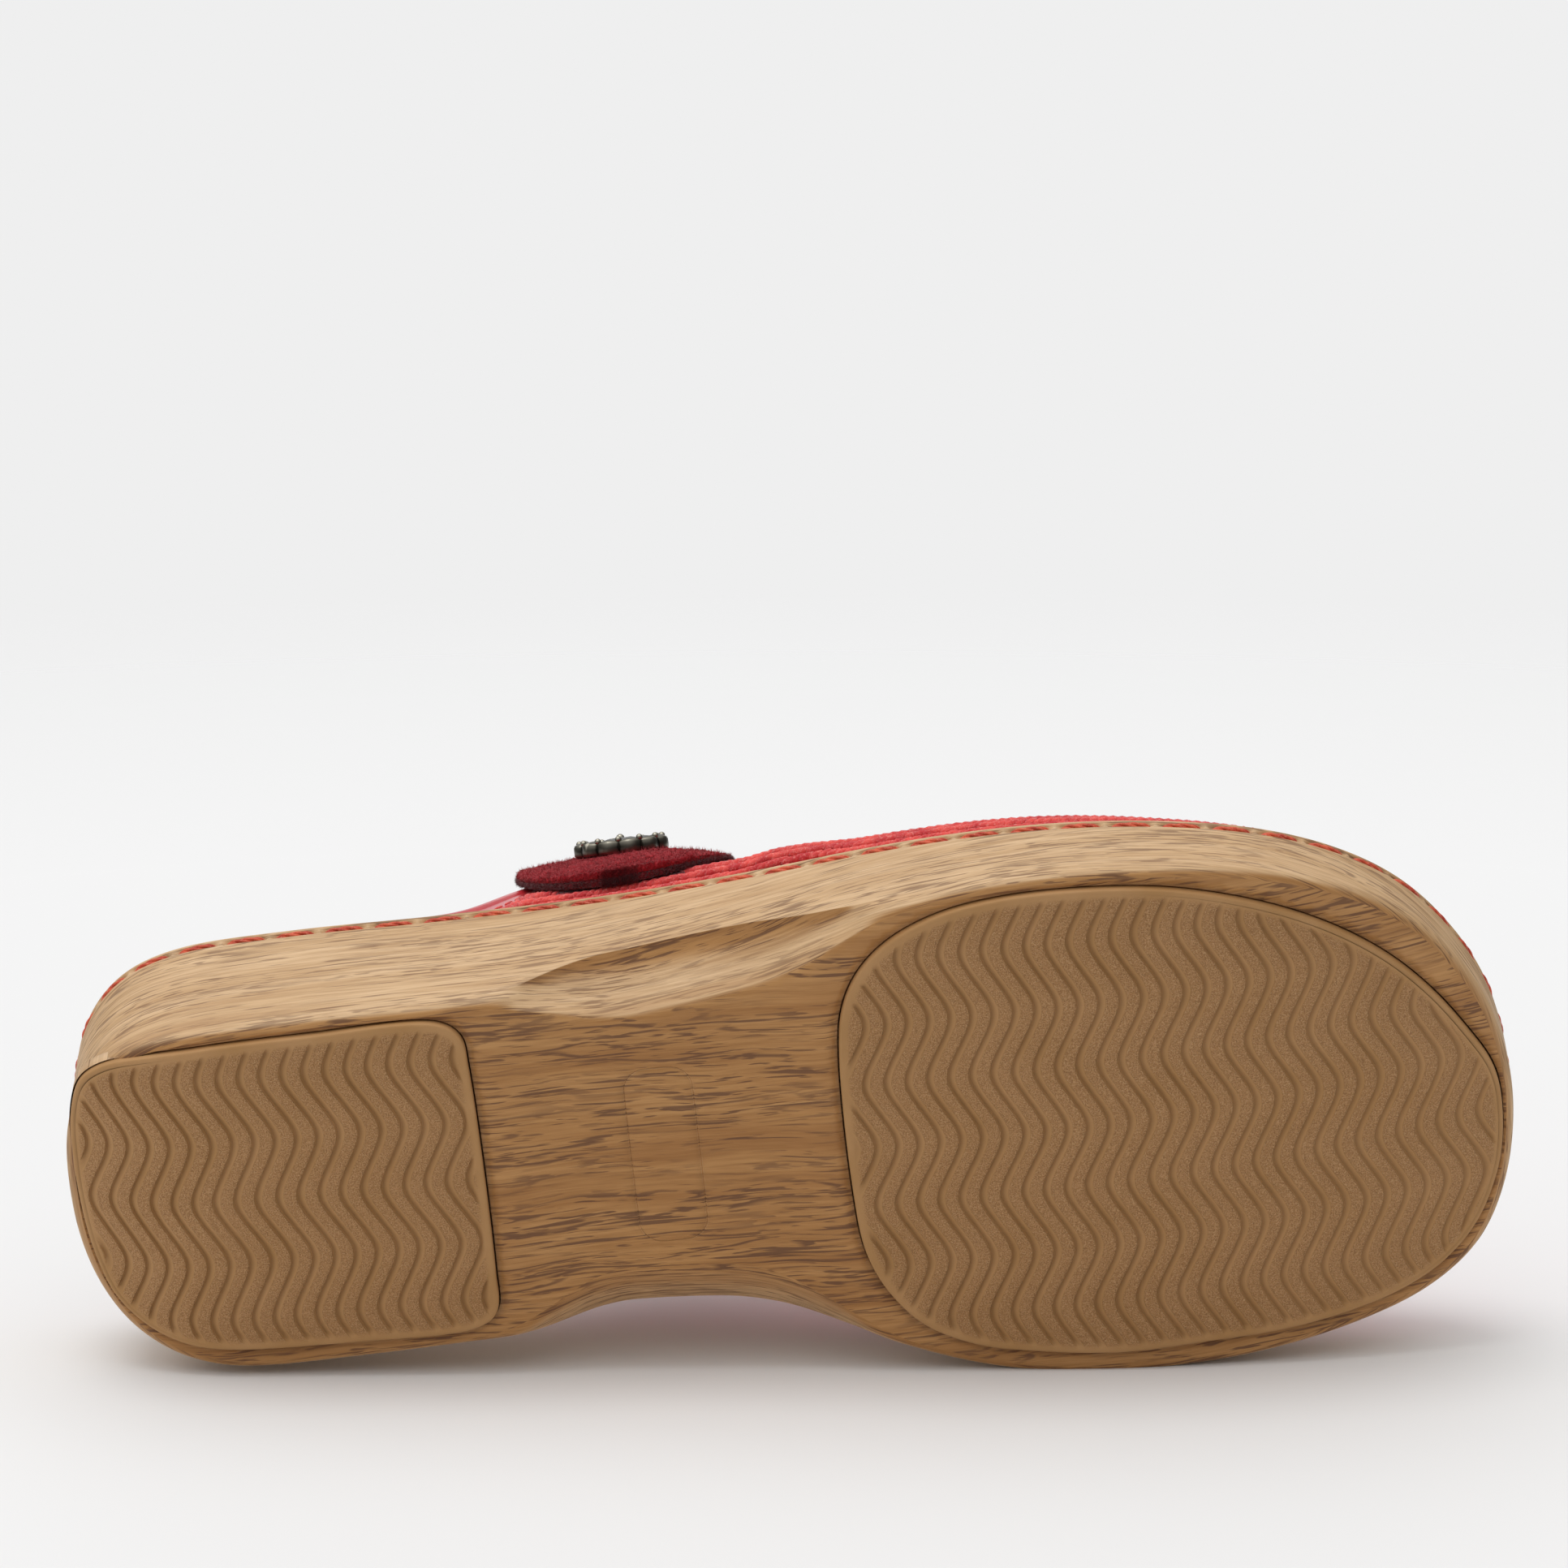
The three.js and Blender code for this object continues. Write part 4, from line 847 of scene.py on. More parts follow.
# Glazed cowhide: fine pebbled grain about 0.6 mm across under a clear shine, red dye a little
# darker in the creases and paler where it is stretched.
leather, tree = material("glazed_red_cowhide")
at = node(tree, "TexCoord").outputs["Object"]
mottle = node(tree, "TexNoise", {"Vector": at, "Scale": 55, "Detail": 4.0}).outputs["Fac"]
pebble = node(tree, "TexVoronoi", {"Vector": at, "Scale": 1500, "Randomness": 1.0},
              feature="SMOOTH_F1").outputs["Distance"]
crease = node(tree, "TexNoise", {"Vector": at, "Scale": 260, "Detail": 5.0, "Roughness": 0.65,
                                 "Distortion": 0.6}).outputs["Fac"]
dye = node(tree, "ValToRGB", {"Fac": mottle}, [(0.30, rgb("#B8232B")), (0.55, rgb("#C9323A")),
                                               (0.75, rgb("#D5474C"))]).outputs["Color"]
fold = node(tree, "MapRange", {"Value": crease, "From Min": 0.30, "From Max": 0.44,
                               "To Min": 0.35, "To Max": 0.0}).outputs[0]
colour = node(tree, "Mix", {0: fold, 6: dye, 7: rgb("#8E1620")}, data_type="RGBA").outputs[2]
hide = node(tree, "Math", {0: pebble, 1: crease}, operation="ADD").outputs[0]
bump = node(tree, "Bump", {"Height": hide, "Strength": 0.28, "Distance": 0.12 * MM}).outputs[0]
shine = node(tree, "MapRange", {"Value": mottle, "To Min": 0.24, "To Max": 0.36}).outputs[0]
skin = node(tree, "BsdfPrincipled", {"Base Color": colour, "Roughness": shine, "IOR": 1.5,
                                     "Normal": bump, "Coat Weight": 0.6, "Coat Roughness": 0.18})
node(tree, "OutputMaterial", {"Surface": skin.outputs[0]})

VAMP_EDGE_X = SEAM_X - 6
vamp = skin_between(over_toe(VAMP_EDGE_X, 0, lap=LAP), over_toe(VAMP_EDGE_X, LEATHER, lap=LAP),
                    round_end=False)
build("vamp_leather", [vamp], leather, "upper_leather", replaces=["vamp_outer"])
for side, outer in SIDES:
    build(f"{side}_quarter_leather", [skin_between(along_side(outer, 0), along_side(outer, LEATHER))],
          leather, "upper_leather", replaces=[f"{side}_quarter"])

k = np.linspace(0, 1, 150)
rand_start = side_at(WING_END_X + 3, True)
rand_t = (rand_start + k * (side_at(WING_END_X + 3, False) - RIM_COUNT - rand_start))[:, None]
x, y, ix, iy = outline(rand_t)
profile = [(0, -1), (0, -0.5), (0, 0), (0.1, 0.8), (0.35, 1.7), (0.7, 2.6), (0.9, 3.0)]
rand_rows = []
for thickness in (0, LEATHER + LINING_GAP + LINING):
    columns = []
    for lean, height in profile:
        rim = rim_height(x)
        z = rim + height if height >= 0 else rim + (rim - cup_floor(x) - 0.6) * height
        d = UPPER_INSET + lean + thickness
        columns.append(np.concatenate([x + ix * d, y + iy * d, z], 1))
    rand_rows.append(np.stack(columns, 1))
build("heel_rand_leather", [skin_between(*rand_rows)], leather, "upper_leather", replaces=["heel_rand"])

# ---------------------------------------------------------------- lining and toe stiffener
# Undyed pigskin lines the whole upper. Between it and the vamp a thermoplastic puff keeps the toe up.

TOE_PUFF = 0.8

# Undyed pigskin: matt tan suede side with groups of three dark pores a few tenths across.
lining, tree = material("undyed_pigskin_lining")
at = node(tree, "TexCoord").outputs["Object"]
tone = node(tree, "TexNoise", {"Vector": at, "Scale": 90, "Detail": 4.0}).outputs["Fac"]
pores = node(tree, "TexVoronoi", {"Vector": at, "Scale": 700, "Randomness": 0.8}).outputs["Distance"]
tan = node(tree, "ValToRGB", {"Fac": tone}, [(0.3, rgb("#B08C66")), (0.7, rgb("#CDAF8A"))]).outputs["Color"]
pore = node(tree, "MapRange", {"Value": pores, "From Min": 0.10, "From Max": 0.22, "To Min": 0.6,
                               "To Max": 0.0}).outputs[0]
colour = node(tree, "Mix", {0: pore, 6: tan, 7: rgb("#7E5C3C")}, data_type="RGBA").outputs[2]
bump = node(tree, "Bump", {"Height": pores, "Strength": 0.4, "Distance": 0.15 * MM}).outputs[0]
skin = node(tree, "BsdfPrincipled", {"Base Color": colour, "Roughness": 0.8, "Normal": bump,
                                     "Sheen Weight": 0.2, "Sheen Roughness": 0.5})
node(tree, "OutputMaterial", {"Surface": skin.outputs[0]})


def lining_depth(x):
    return LEATHER + LINING_GAP + (TOE_PUFF + LINING_GAP) * ramp(x, 60, 74)


near = lining_depth(toe_rows(SEAM_X))
vamp_lining = skin_between(over_toe(SEAM_X, near), over_toe(SEAM_X, near + LINING), round_end=False)
build("vamp_lining_pigskin", [vamp_lining], lining, "lining_leather", replaces=["vamp_lining"])
for side, outer in SIDES:
    sheets = [along_side(outer, LEATHER + LINING_GAP), along_side(outer, LEATHER + LINING_GAP + LINING)]
    build(f"{side}_lining_pigskin", [skin_between(*sheets)], lining, "lining_leather",
          replaces=[f"{side}_quarter_lining"])

# ---------------------------------------------------------------- binding
# Folded strip of the same cowhide sewn round the whole top edge, from one wing to the other.

BINDING_RADIUS = 1.7


def collar(off=0.0):
    """Line along the top edge, over one quarter, the throat and the other quarter. off raises it, as a
    share of the way to the top line."""
    x = SEAM_X - (SEAM_X - WING_END_X - 2) * np.linspace(0.02, 1, 110) ** 1.5
    middle = -(LEATHER + LINING + LINING_GAP) / 2
    lines = [on_upper(side_at(x, outer), topline(x) + off, middle) for _, outer in SIDES]
    path = np.concatenate([lines[0][::-1], lines[1]])
    for _ in range(6):
        path[1:-1] = path[1:-1] * 0.5 + (path[:-2] + path[2:]) * 0.25
    return path


def sweep(path, sides, ups, outline_points):
    """A closed section carried along a path: points and faces, with pointed ends."""
    taper = np.ones(len(path))
    taper[[0, -1]] = 0.02
    section = outline_points[None] * taper[:, None, None]
    points = path[:, None] + section[..., :1] * sides[:, None] + section[..., 1:] * ups[:, None]
    return points.reshape(-1, 3), grid(len(path), len(outline_points), wrap=True)


edge = collar()
below_edge = collar(-0.06)
along = unit(np.gradient(edge, axis=0))
up = edge - below_edge
up = unit(up - (up * along).sum(1, keepdims=True) * along)
side = np.cross(along, up)
angle = np.linspace(0, 2 * math.pi, 20, endpoint=False)
oval = np.stack([np.cos(angle) * (BINDING_RADIUS + 0.25), np.sin(angle) * BINDING_RADIUS * 1.15], 1)
binding = sweep(edge + up * 0.5, side, up, oval)
build("collar_binding_leather", [binding], leather, "upper_leather", replaces=["collar_binding"])

# ---------------------------------------------------------------- seams and embroidery
# Lockstitch seams in fine red thread hold the panels. Thick rope-like rows of stem stitch follow the
# rim, and leaves of the same stitch stand over the toe and the quarters.


def walk(path, step, start=0.0):
    """Even places along a path of points, and the path's direction at each."""
    lengths = np.concatenate([[0], np.cumsum(np.linalg.norm(np.diff(path[:, :3], axis=0), axis=1))])
    at = np.arange(start, lengths[-1], step)
    places = np.stack([np.interp(at, lengths, path[:, i]) for i in range(path.shape[1])], 1)
    ahead = np.stack([np.interp(at + 0.3, lengths, path[:, i]) for i in range(3)], 1)
    behind = np.stack([np.interp(at - 0.3, lengths, path[:, i]) for i in range(3)], 1)
    return places, unit(ahead - behind)


def line_on_upper(t, v, off):
    """Path on the upper as points with the outward direction beside them, six numbers each."""
    near, far = on_upper(t, v, off), on_upper(t, v, off + 1)
    return np.concatenate([near, far - near], 1)


def beads(centres, long_way, wide_way, up_way, sizes, around=8, rings=5):
    """Small ellipsoids: half sizes along the three directions of each."""
    lat = np.linspace(-math.pi / 2, math.pi / 2, rings)[:, None]
    lon = np.linspace(0, 2 * math.pi, around, endpoint=False)[None, :]
    ball = np.stack([np.sin(lat) + 0 * lon, np.cos(lat) * np.cos(lon), np.cos(lat) * np.sin(lon)], -1)
    ball = ball.reshape(-1, 3) * np.array(sizes)
    points = (centres[:, None] + ball[None, :, :1] * long_way[:, None]
              + ball[None, :, 1:2] * wide_way[:, None] + ball[None, :, 2:] * up_way[:, None])
    one = grid(rings, around, wrap=True)
    shift = np.arange(len(centres))[:, None, None] * rings * around
    return points.reshape(-1, 3), (one[None] + shift).reshape(-1, 4)


def stitch_row(path, pitch, sizes, lean=0.0, jitter=0.0):
    """A row of stitches along a path on the upper. lean turns each one off the path, in degrees."""
    places, forwards = walk(path, pitch, pitch / 2)
    up = unit(places[:, 3:])
    across = np.cross(up, forwards)
    turn = np.radians(lean + jitter * rng.normal(0, 1, len(places)))[:, None]
    long_way = unit(forwards * np.cos(turn) + across * np.sin(turn))
    wide_way = unit(np.cross(up, long_way))
    centres = places[:, :3] + across * jitter * 0.012 * rng.normal(0, 1, (len(places), 1))
    return beads(centres, long_way, wide_way, up, sizes)


FINE, ROPE, LEAF_ROPE = (1.25, 0.28, 0.26), (1.8, 0.66, 0.9), (1.5, 0.5, 0.55)  # half sizes of a stitch
FINE_PITCH, ROPE_PITCH = 3.0, 1.7
ROPE_LIFT, ROWS_START_X = 0.35, -46
seams, ropes = [], []
for _, outer in SIDES:
    v = np.linspace(0.02, 0.995, 200)
    for x in (SEAM_X - 3.8, SEAM_X - 0.9):
        lift = LAP * lapped(x) + 0.05
        seams.append(stitch_row(line_on_upper(side_at(np.full(200, x), outer), v, lift), FINE_PITCH, FINE))
    x = np.linspace(SEAM_X - 7, WING_END_X + 4, 300)
    v = np.maximum(topline(x) - 0.065, 0.01)
    seams.append(stitch_row(line_on_upper(side_at(x, outer), v, 0.05), FINE_PITCH, FINE))

    # Rows of rope along the rim, from the middle of the quarter round to the toe.
    x = np.linspace(ROWS_START_X, RIM[TOE_TIP, 0] - 0.5, 700)
    lift = LAP * lapped(x) * ramp(x, VAMP_EDGE_X - 9, VAMP_EDGE_X) + ROPE_LIFT
    for v, end in ((0.035, 1.0), (0.085, 0.93), (0.14, 0.86), (0.19, 0.74)):
        keep = x < ROWS_START_X + (RIM[TOE_TIP, 0] - ROWS_START_X) * end
        path = line_on_upper(side_at(x[keep], outer), np.full(keep.sum(), v), lift[keep])
        ropes.append(stitch_row(path, ROPE_PITCH, ROPE, lean=28, jitter=10))
    # Two rows that climb across the quarter.
    for shift in (0, 5):
        k = np.linspace(0, 1, 160)
        x = -67 - shift + 26 * k
        v = 0.02 + (topline(x) - 0.14) * k ** 1.3
        path = line_on_upper(side_at(x, outer), v, 0.3)
        ropes.append(stitch_row(path, ROPE_PITCH, ROPE, lean=28, jitter=6))


def leaf(x, across, length, width, heading):
    """Outline and vein of a leaf over the toe, as three lines of places along the foot and across it.
    across is signed millimetres from the top line, heading degrees off the foot's length."""
    h, k = math.radians(heading), np.linspace(0, 1, 60)
    for bulge in (-1, 0, 1):
        along, beside = length * k, bulge * width * np.sin(math.pi * k ** 0.8)
        yield (x + along * math.cos(h) - beside * math.sin(h),
               across + along * math.sin(h) + beside * math.cos(h))


ARCH_LENGTH = 62.0  # from the top line to the rim over the forefoot, mm
LEAVES = ((34, 5, 22, 4.6, 58), (52, 5, 22, 4.6, 52), (70, 4.5, 20, 4.2, 46), (24, 6, 20, 4.2, 86))
for x0, across, length, width, heading in LEAVES:
    for mirror in (1, -1):
        for px, pa in leaf(x0, across * mirror, length, width, heading * mirror):
            t = np.where(pa < 0, side_at(px, True), side_at(px, False))
            path = line_on_upper(t, 1 - np.abs(pa) / ARCH_LENGTH, ROPE_LIFT)
            ropes.append(stitch_row(path, 1.6, LEAF_ROPE, lean=24, jitter=5))
x = np.linspace(26, 92, 200)
stem = line_on_upper(side_at(x, True), np.full(200, 0.985), ROPE_LIFT)
ropes.append(stitch_row(stem, ROPE_PITCH, ROPE, lean=26, jitter=5))

# Six-strand embroidery cotton: soft, matt, crimson, with pale flecks that are partly fluffed strands and
# partly painted highlights.
cotton, tree = material("crimson_embroidery_cotton")
at = node(tree, "TexCoord").outputs["Object"]
strand = node(tree, "TexNoise", {"Vector": at, "Scale": 2200, "Detail": 3.0, "Roughness": 0.7}).outputs["Fac"]
tone = node(tree, "TexNoise", {"Vector": at, "Scale": 300, "Detail": 2.0}).outputs["Fac"]
body = node(tree, "ValToRGB", {"Fac": tone},
            [(0.35, rgb("#CC3036")), (0.65, rgb("#F05850"))]).outputs["Color"]
# Painted highlight, in part: pale flecks over the thread that also stand for fluffed strands.
fluff_and_highlight = node(tree, "MapRange", {"Value": strand, "From Min": 0.52, "From Max": 0.74,
                                "To Max": 0.7}).outputs[0]
colour = node(tree, "Mix", {0: fluff_and_highlight, 6: body, 7: rgb("#FFA89C")}, data_type="RGBA").outputs[2]
bump = node(tree, "Bump", {"Height": strand, "Strength": 0.9, "Distance": 0.2 * MM}).outputs[0]
skin = node(tree, "BsdfPrincipled", {"Base Color": colour, "Roughness": 0.75, "Normal": bump,
                                     "Sheen Weight": 0.4, "Sheen Roughness": 0.4})
node(tree, "OutputMaterial", {"Surface": skin.outputs[0]})
build("embroidered_rows", ropes, cotton, "thread")
build("seam_stitches", seams, cotton, "thread")

# ---------------------------------------------------------------- footbed
# Layers that the foot stands on: a fibre board over a steel shank, a moulded cork core, foam, and a
# leather cover that is turned down over their edge and glued to the board.


def footbed_top(x, k, is_outer):
    """Height of the footbed's top: k is 0 at its edge and 1 on the middle line."""
    low = cup_floor(x) + 0.3 + 1.8 + 0.3
    dish = 3.2 * (1 - ramp(x, -70, -20)) * (1 - k) ** 2
    arch = np.where(is_outer, 0, 5.5 * bell(x, -75, -35, -15, 30) * (1 - k) ** 1.6)
    core = low + 6.8 + (3.4 - 6.8) * ramp(x, -70, 40) + np.maximum(dish, arch)
    return core + 0.3 + 2.0 + 0.3 + 1.0


COVER_INSET, COVER_TURN, COVER_CROWN = 6.3, 1.6, 0.7
t = np.arange(0, RIM_COUNT, 2)
x, y, ix, iy = (a[None] for a in outline(t))
on_outer = (t < TOE_TIP)[None]
k = np.concatenate([[0, 0.004, 0.012, 0.03, 0.06], np.linspace(0.1, 1, 26)])[:, None]
mid_x = np.clip(x, -104, 92)
in_x, in_y = x + ix * COVER_INSET, y + iy * COVER_INSET
cover_x = in_x + (mid_x - in_x) * k
cover_y = in_y + (middle_line(mid_x) - in_y) * k
turned = COVER_TURN * (1 - np.sqrt(np.clip(1 - (1 - np.clip(k / 0.06, 0, 1)) ** 2, 0, 1)))
soft = COVER_CROWN * np.sin(math.pi * k) * (1 - k)
cover_z = footbed_top(cover_x, k, on_outer) - turned + soft
top = np.stack([cover_x, cover_y, cover_z], -1)
skirt_z = np.stack([top[0, :, 2] - d for d in (6.5, 4, 2, 0.7)])
skirt_z = np.maximum(skirt_z, cup_floor(x) + 1.2 + np.array([0, 0.3, 0.6, 0.9])[:, None])
skirt = np.stack([np.repeat(in_x, 4, 0), np.repeat(in_y, 4, 0), skirt_z], -1)
hem_inset = COVER_INSET + 0.9
hem = np.stack([x[0] + ix[0] * hem_inset, y[0] + iy[0] * hem_inset, skirt_z[0]], -1)
sheet = np.concatenate([hem[None], skirt, top])
cover = (sheet.reshape(-1, 3), grid(*sheet.shape[:2], wrap=True))

# Vegetable-tanned cover leather: warm tan, open grain, darker and smoother where the foot has pressed.
cover_leather, tree = material("vegetable_tanned_cover_leather")
at = node(tree, "TexCoord").outputs["Object"]
tone = node(tree, "TexNoise", {"Vector": at, "Scale": 40, "Detail": 4.0}).outputs["Fac"]
cells = node(tree, "TexVoronoi", {"Vector": at, "Scale": 1100, "Randomness": 1.0},
             feature="SMOOTH_F1").outputs["Distance"]
tan = node(tree, "ValToRGB", {"Fac": tone}, [(0.3, rgb("#8F5E38")), (0.7, rgb("#B27F52"))]).outputs["Color"]
bump = node(tree, "Bump", {"Height": cells, "Strength": 0.5, "Distance": 0.15 * MM}).outputs[0]
skin = node(tree, "BsdfPrincipled", {"Base Color": tan, "Roughness": 0.52, "Normal": bump})
node(tree, "OutputMaterial", {"Surface": skin.outputs[0]})
footbed = build("footbed_cover_leather", [cover], cover_leather, "cover_leather",
                replaces=["footbed_cover"])

# ---------------------------------------------------------------- instep strap and tab
# Brushed suede strap, lined, sewn to the inner quarter and carried over the instep. Its free end is
# a tab with a loop-pile face that presses onto a hook patch on the outer quarter.

STRAP_X, STRAP_HALF = -28.4, 20.0
HINGE_V, TAB_END_V, MEDIAL_V = 0.6, 0.13, 0.22
PILE_LOW, PILE_HIGH, TOP_LOW, TOP_HIGH = 2.0, 3.7, 3.95, 5.7
STRAP_END_ROUND = 0.55
PATCH_LOW_V, PATCH_HIGH_V, PATCH_HALF = 0.16, 0.38, 12
HUG_MIDDLE = 0.80  # the strap lies closer to the upper than its CAD piece, and closer still
HUG_HEEL_EDGE, HUG_TOE_EDGE = 0.45, 0.22  # along its two edges


def strap_place(w):
    """Side and height on the upper at w: 0 at the inner end, 1 on the top line, 2 at the rim."""
    return w > 1, np.where(w > 1, 2 - w, w)


def strap_grid(w, k, off, margin=0.0):
    """Points of the strap: w along it and k from -1 to 1 across it."""
    tab = np.clip(((HINGE_V - (2 - w)) / (HINGE_V - TAB_END_V) - 0.45) / STRAP_END_ROUND, 0, 1)
    half = np.maximum(STRAP_HALF * np.sqrt(1 - tab ** 2 * 0.97), 3.0) - margin
    x = STRAP_X + half * k
    outer, v = strap_place(w)
    t = np.where(outer, side_at(x, True), side_at(x, False))
    aside = half * k / STRAP_HALF
    edge = np.where(aside > 0, HUG_TOE_EDGE, HUG_HEEL_EDGE)
    return on_upper(t, v, off * (HUG_MIDDLE + (edge - HUG_MIDDLE) * aside ** 2))


def strap_sheet(w, low, high, margin=0.0, columns=45, fleece=0.0):
    """A layer of the strap. fleece is the height of the tufts on its outer face, in millimetres."""
    k = np.sin(np.linspace(-1, 1, columns) * math.pi / 2)[None, :]
    w = w[:, None] + 0 * k
    outer, inner = (relax(strap_grid(w, k, off, margin), 12) for off in (high, low))
    tufts = fleece * rng.normal(0, 1, (*w.shape, 1)) * unit(outer - inner)
    return outer + tufts, inner


# Brushed suede: crimson nap that is pale where its tips catch the light and dark in its depth.
suede, tree = material("brushed_crimson_suede")
at = node(tree, "TexCoord").outputs["Object"]
nap = node(tree, "TexNoise", {"Vector": at, "Scale": 1700, "Detail": 4.0, "Roughness": 0.75}).outputs["Fac"]
stroke = node(tree, "TexNoise", {"Vector": at, "Scale": 160, "Detail": 3.0}).outputs["Fac"]
deep = node(tree, "ValToRGB", {"Fac": nap}, [(0.35, rgb("#5C0810")), (0.52, rgb("#8E151F")),
                                             (0.70, rgb("#CC474D"))]).outputs["Color"]
brushed = node(tree, "MapRange", {"Value": stroke, "From Min": 0.4, "From Max": 0.65,
                                  "To Max": 0.30}).outputs[0]
colour = node(tree, "Mix", {0: brushed, 6: deep, 7: rgb("#BE343E")}, data_type="RGBA").outputs[2]
bump = node(tree, "Bump", {"Height": nap, "Strength": 0.8, "Distance": 0.3 * MM}).outputs[0]
skin = node(tree, "BsdfPrincipled", {"Base Color": colour, "Roughness": 0.92, "Normal": bump,
                                     "Specular IOR Level": 0.15, "Sheen Weight": 0.55,
                                     "Sheen Roughness": 0.35, "Sheen Tint": rgb("#F0A0A0")})
node(tree, "OutputMaterial", {"Surface": skin.outputs[0]})

TAB_TIP, HINGE_W = 2 - TAB_END_V, 2 - HINGE_V
strap_w = np.concatenate([np.linspace(MEDIAL_V, HINGE_W, 150)[:-1],
                          HINGE_W + (TAB_TIP - HINGE_W) * np.sin(np.linspace(0, 1, 110) * math.pi / 2)])
suede_sheets = strap_sheet(strap_w, TOP_LOW, TOP_HIGH, columns=80, fleece=0.16)
strap = build("instep_strap_suede", [skin_between(*suede_sheets)], suede, "upper_leather", body=None,
              replaces=["instep_strap", "strap_tab"])

hinge_low = on_upper(side_at(STRAP_X, True), HINGE_V - 0.03, TOP_LOW)
hinge_high = on_upper(side_at(STRAP_X, True), HINGE_V + 0.16, TOP_LOW)
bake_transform(strap)

back_w = strap_w[strap_w <= HINGE_W - 0.012]
back_sheets = strap_sheet(back_w, PILE_LOW, PILE_HIGH, margin=0.4)
strap_back = build("instep_strap_lining_pigskin", [skin_between(*back_sheets)], lining, "lining_leather",
                   body=None, replaces=["instep_strap_lining"])
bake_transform(strap_back)

# Loop pile: a crimson fleece of tiny loops on a woven back, with painted shade making it very dark between
# the loops.
pile, tree = material("crimson_loop_pile")
at = node(tree, "TexCoord").outputs["Object"]
loops = node(tree, "TexVoronoi", {"Vector": at, "Scale": 1500, "Randomness": 1.0}).outputs["Distance"]
haze = node(tree, "TexNoise", {"Vector": at, "Scale": 900, "Detail": 4.0, "Roughness": 0.7}).outputs["Fac"]
# Painted shade: the colour falls to near black between the loops.
deep = node(tree, "ValToRGB", {"Fac": loops},
            [(0.15, rgb("#931826")), (0.55, rgb("#3A050C"))]).outputs["Color"]
colour = node(tree, "Mix", {0: haze, 6: deep, 7: rgb("#7E101C")}, data_type="RGBA").outputs[2]
bump = node(tree, "Bump", {"Height": haze, "Strength": 1.0, "Distance": 0.5 * MM}).outputs[0]
skin = node(tree, "BsdfPrincipled", {"Base Color": colour, "Roughness": 0.95, "Normal": bump,
                                     "Specular IOR Level": 0.1, "Sheen Weight": 0.35})
node(tree, "OutputMaterial", {"Surface": skin.outputs[0]})

tab_w = strap_w[strap_w >= HINGE_W + 0.012]
tab_sheets = strap_sheet(tab_w, PILE_LOW, PILE_HIGH, margin=0.3, columns=80, fleece=0.12)
build("tab_loop_pile", [skin_between(*tab_sheets)], pile, "hook_and_loop", body="tab",
      replaces=["strap_tab_pile"])


def fibres(roots, directions, lengths, width):
    """Single hairs as thin closed spikes: (points, faces)."""
    side = unit(np.cross(directions, rng.normal(0, 1, directions.shape)))
    other = np.cross(directions, side)
    foot = [roots + width * (math.cos(a) * side + math.sin(a) * other) for a in (0, 2.094, 4.189)]
    points = np.stack([*foot, roots + directions * lengths[:, None]], 1)
    one = np.array([(0, 2, 1), (0, 1, 3), (1, 2, 3), (2, 0, 3)])
    return points.reshape(-1, 3), (one[None] + np.arange(len(roots))[:, None, None] * 4).reshape(-1, 3)


def nap_on(w_range, count, low, high, length, edge_share):
    """Hairs of about one length over the strap's face and edge, between two places along it."""
    w = rng.uniform(*w_range, count)
    k = rng.uniform(-1, 1, count)
    edge = rng.uniform(0, 1, count) < edge_share
    k = np.where(edge, np.sign(k), k)
    tip = edge & (rng.uniform(0, 1, count) < 0.35) & (w_range[1] > HINGE_W + 0.1)
    w = np.where(tip, TAB_TIP, w)
    k = np.where(tip, rng.uniform(-1, 1, count), k)
    off = np.where(edge, rng.uniform(low, high, count), high)
    here = strap_grid(w, k, off)
    out = unit(strap_grid(w, k, off + 0.5) - here)
    aside = unit(strap_grid(w, np.clip(k, -1, 0.99), off) - strap_grid(w, k * 0.96, off)
                 + 1e-6) * edge[:, None]
    down = unit(here - strap_grid(w - 0.01, k, off)) * tip[:, None]
    lean = rng.normal(0, 0.55, (count, 3))
    direction = unit(out * np.where(edge, 0.25, 1.0)[:, None] + aside * 0.9 + down * 1.2 + lean)
    return fibres(here - direction * 0.15, direction, rng.uniform(0.45, 1.0, count) * length, 0.07)


HAIRS = 20000
strap_nap = nap_on((MEDIAL_V, TAB_TIP), HAIRS, TOP_LOW, TOP_HIGH, 1.2, 0.35)
nap = build("strap_suede_nap", [strap_nap], suede, "upper_leather", body=None, weld=False)
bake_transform(nap)
pile_nap = nap_on((HINGE_W + 0.02, TAB_TIP), HAIRS // 2, PILE_LOW, PILE_HIGH, 1.3, 0.9)
build("tab_pile_fibres", [pile_nap], pile, "hook_and_loop", body="tab", weld=False)

# Hook patch: a stiff woven square with rows of tiny bent hooks.
v = np.linspace(PATCH_HIGH_V, PATCH_LOW_V, 40)[:, None]
t = side_at(STRAP_X + np.linspace(-PATCH_HALF, PATCH_HALF, 40), True)[None, :]
patch = skin_between(on_upper(t, v, 0.9), on_upper(t, v, 0.3))
hook_v, hook_x = np.meshgrid(np.linspace(PATCH_HIGH_V - 0.005, PATCH_LOW_V + 0.005, 17),
                             STRAP_X + np.linspace(-0.97, 0.97, 26) * PATCH_HALF)
hook_v, hook_t = hook_v.ravel(), side_at(hook_x.ravel(), True)
root = on_upper(hook_t, hook_v, 0.85)
out = unit(on_upper(hook_t, hook_v, 1.95) - root)
hooks = fibres(root, unit(out + rng.normal(0, 0.15, out.shape)), np.full(len(root), 0.5), 0.16)
build("hook_patch_weave", [patch, hooks], pile, "hook_and_loop", replaces=["hook_patch"])

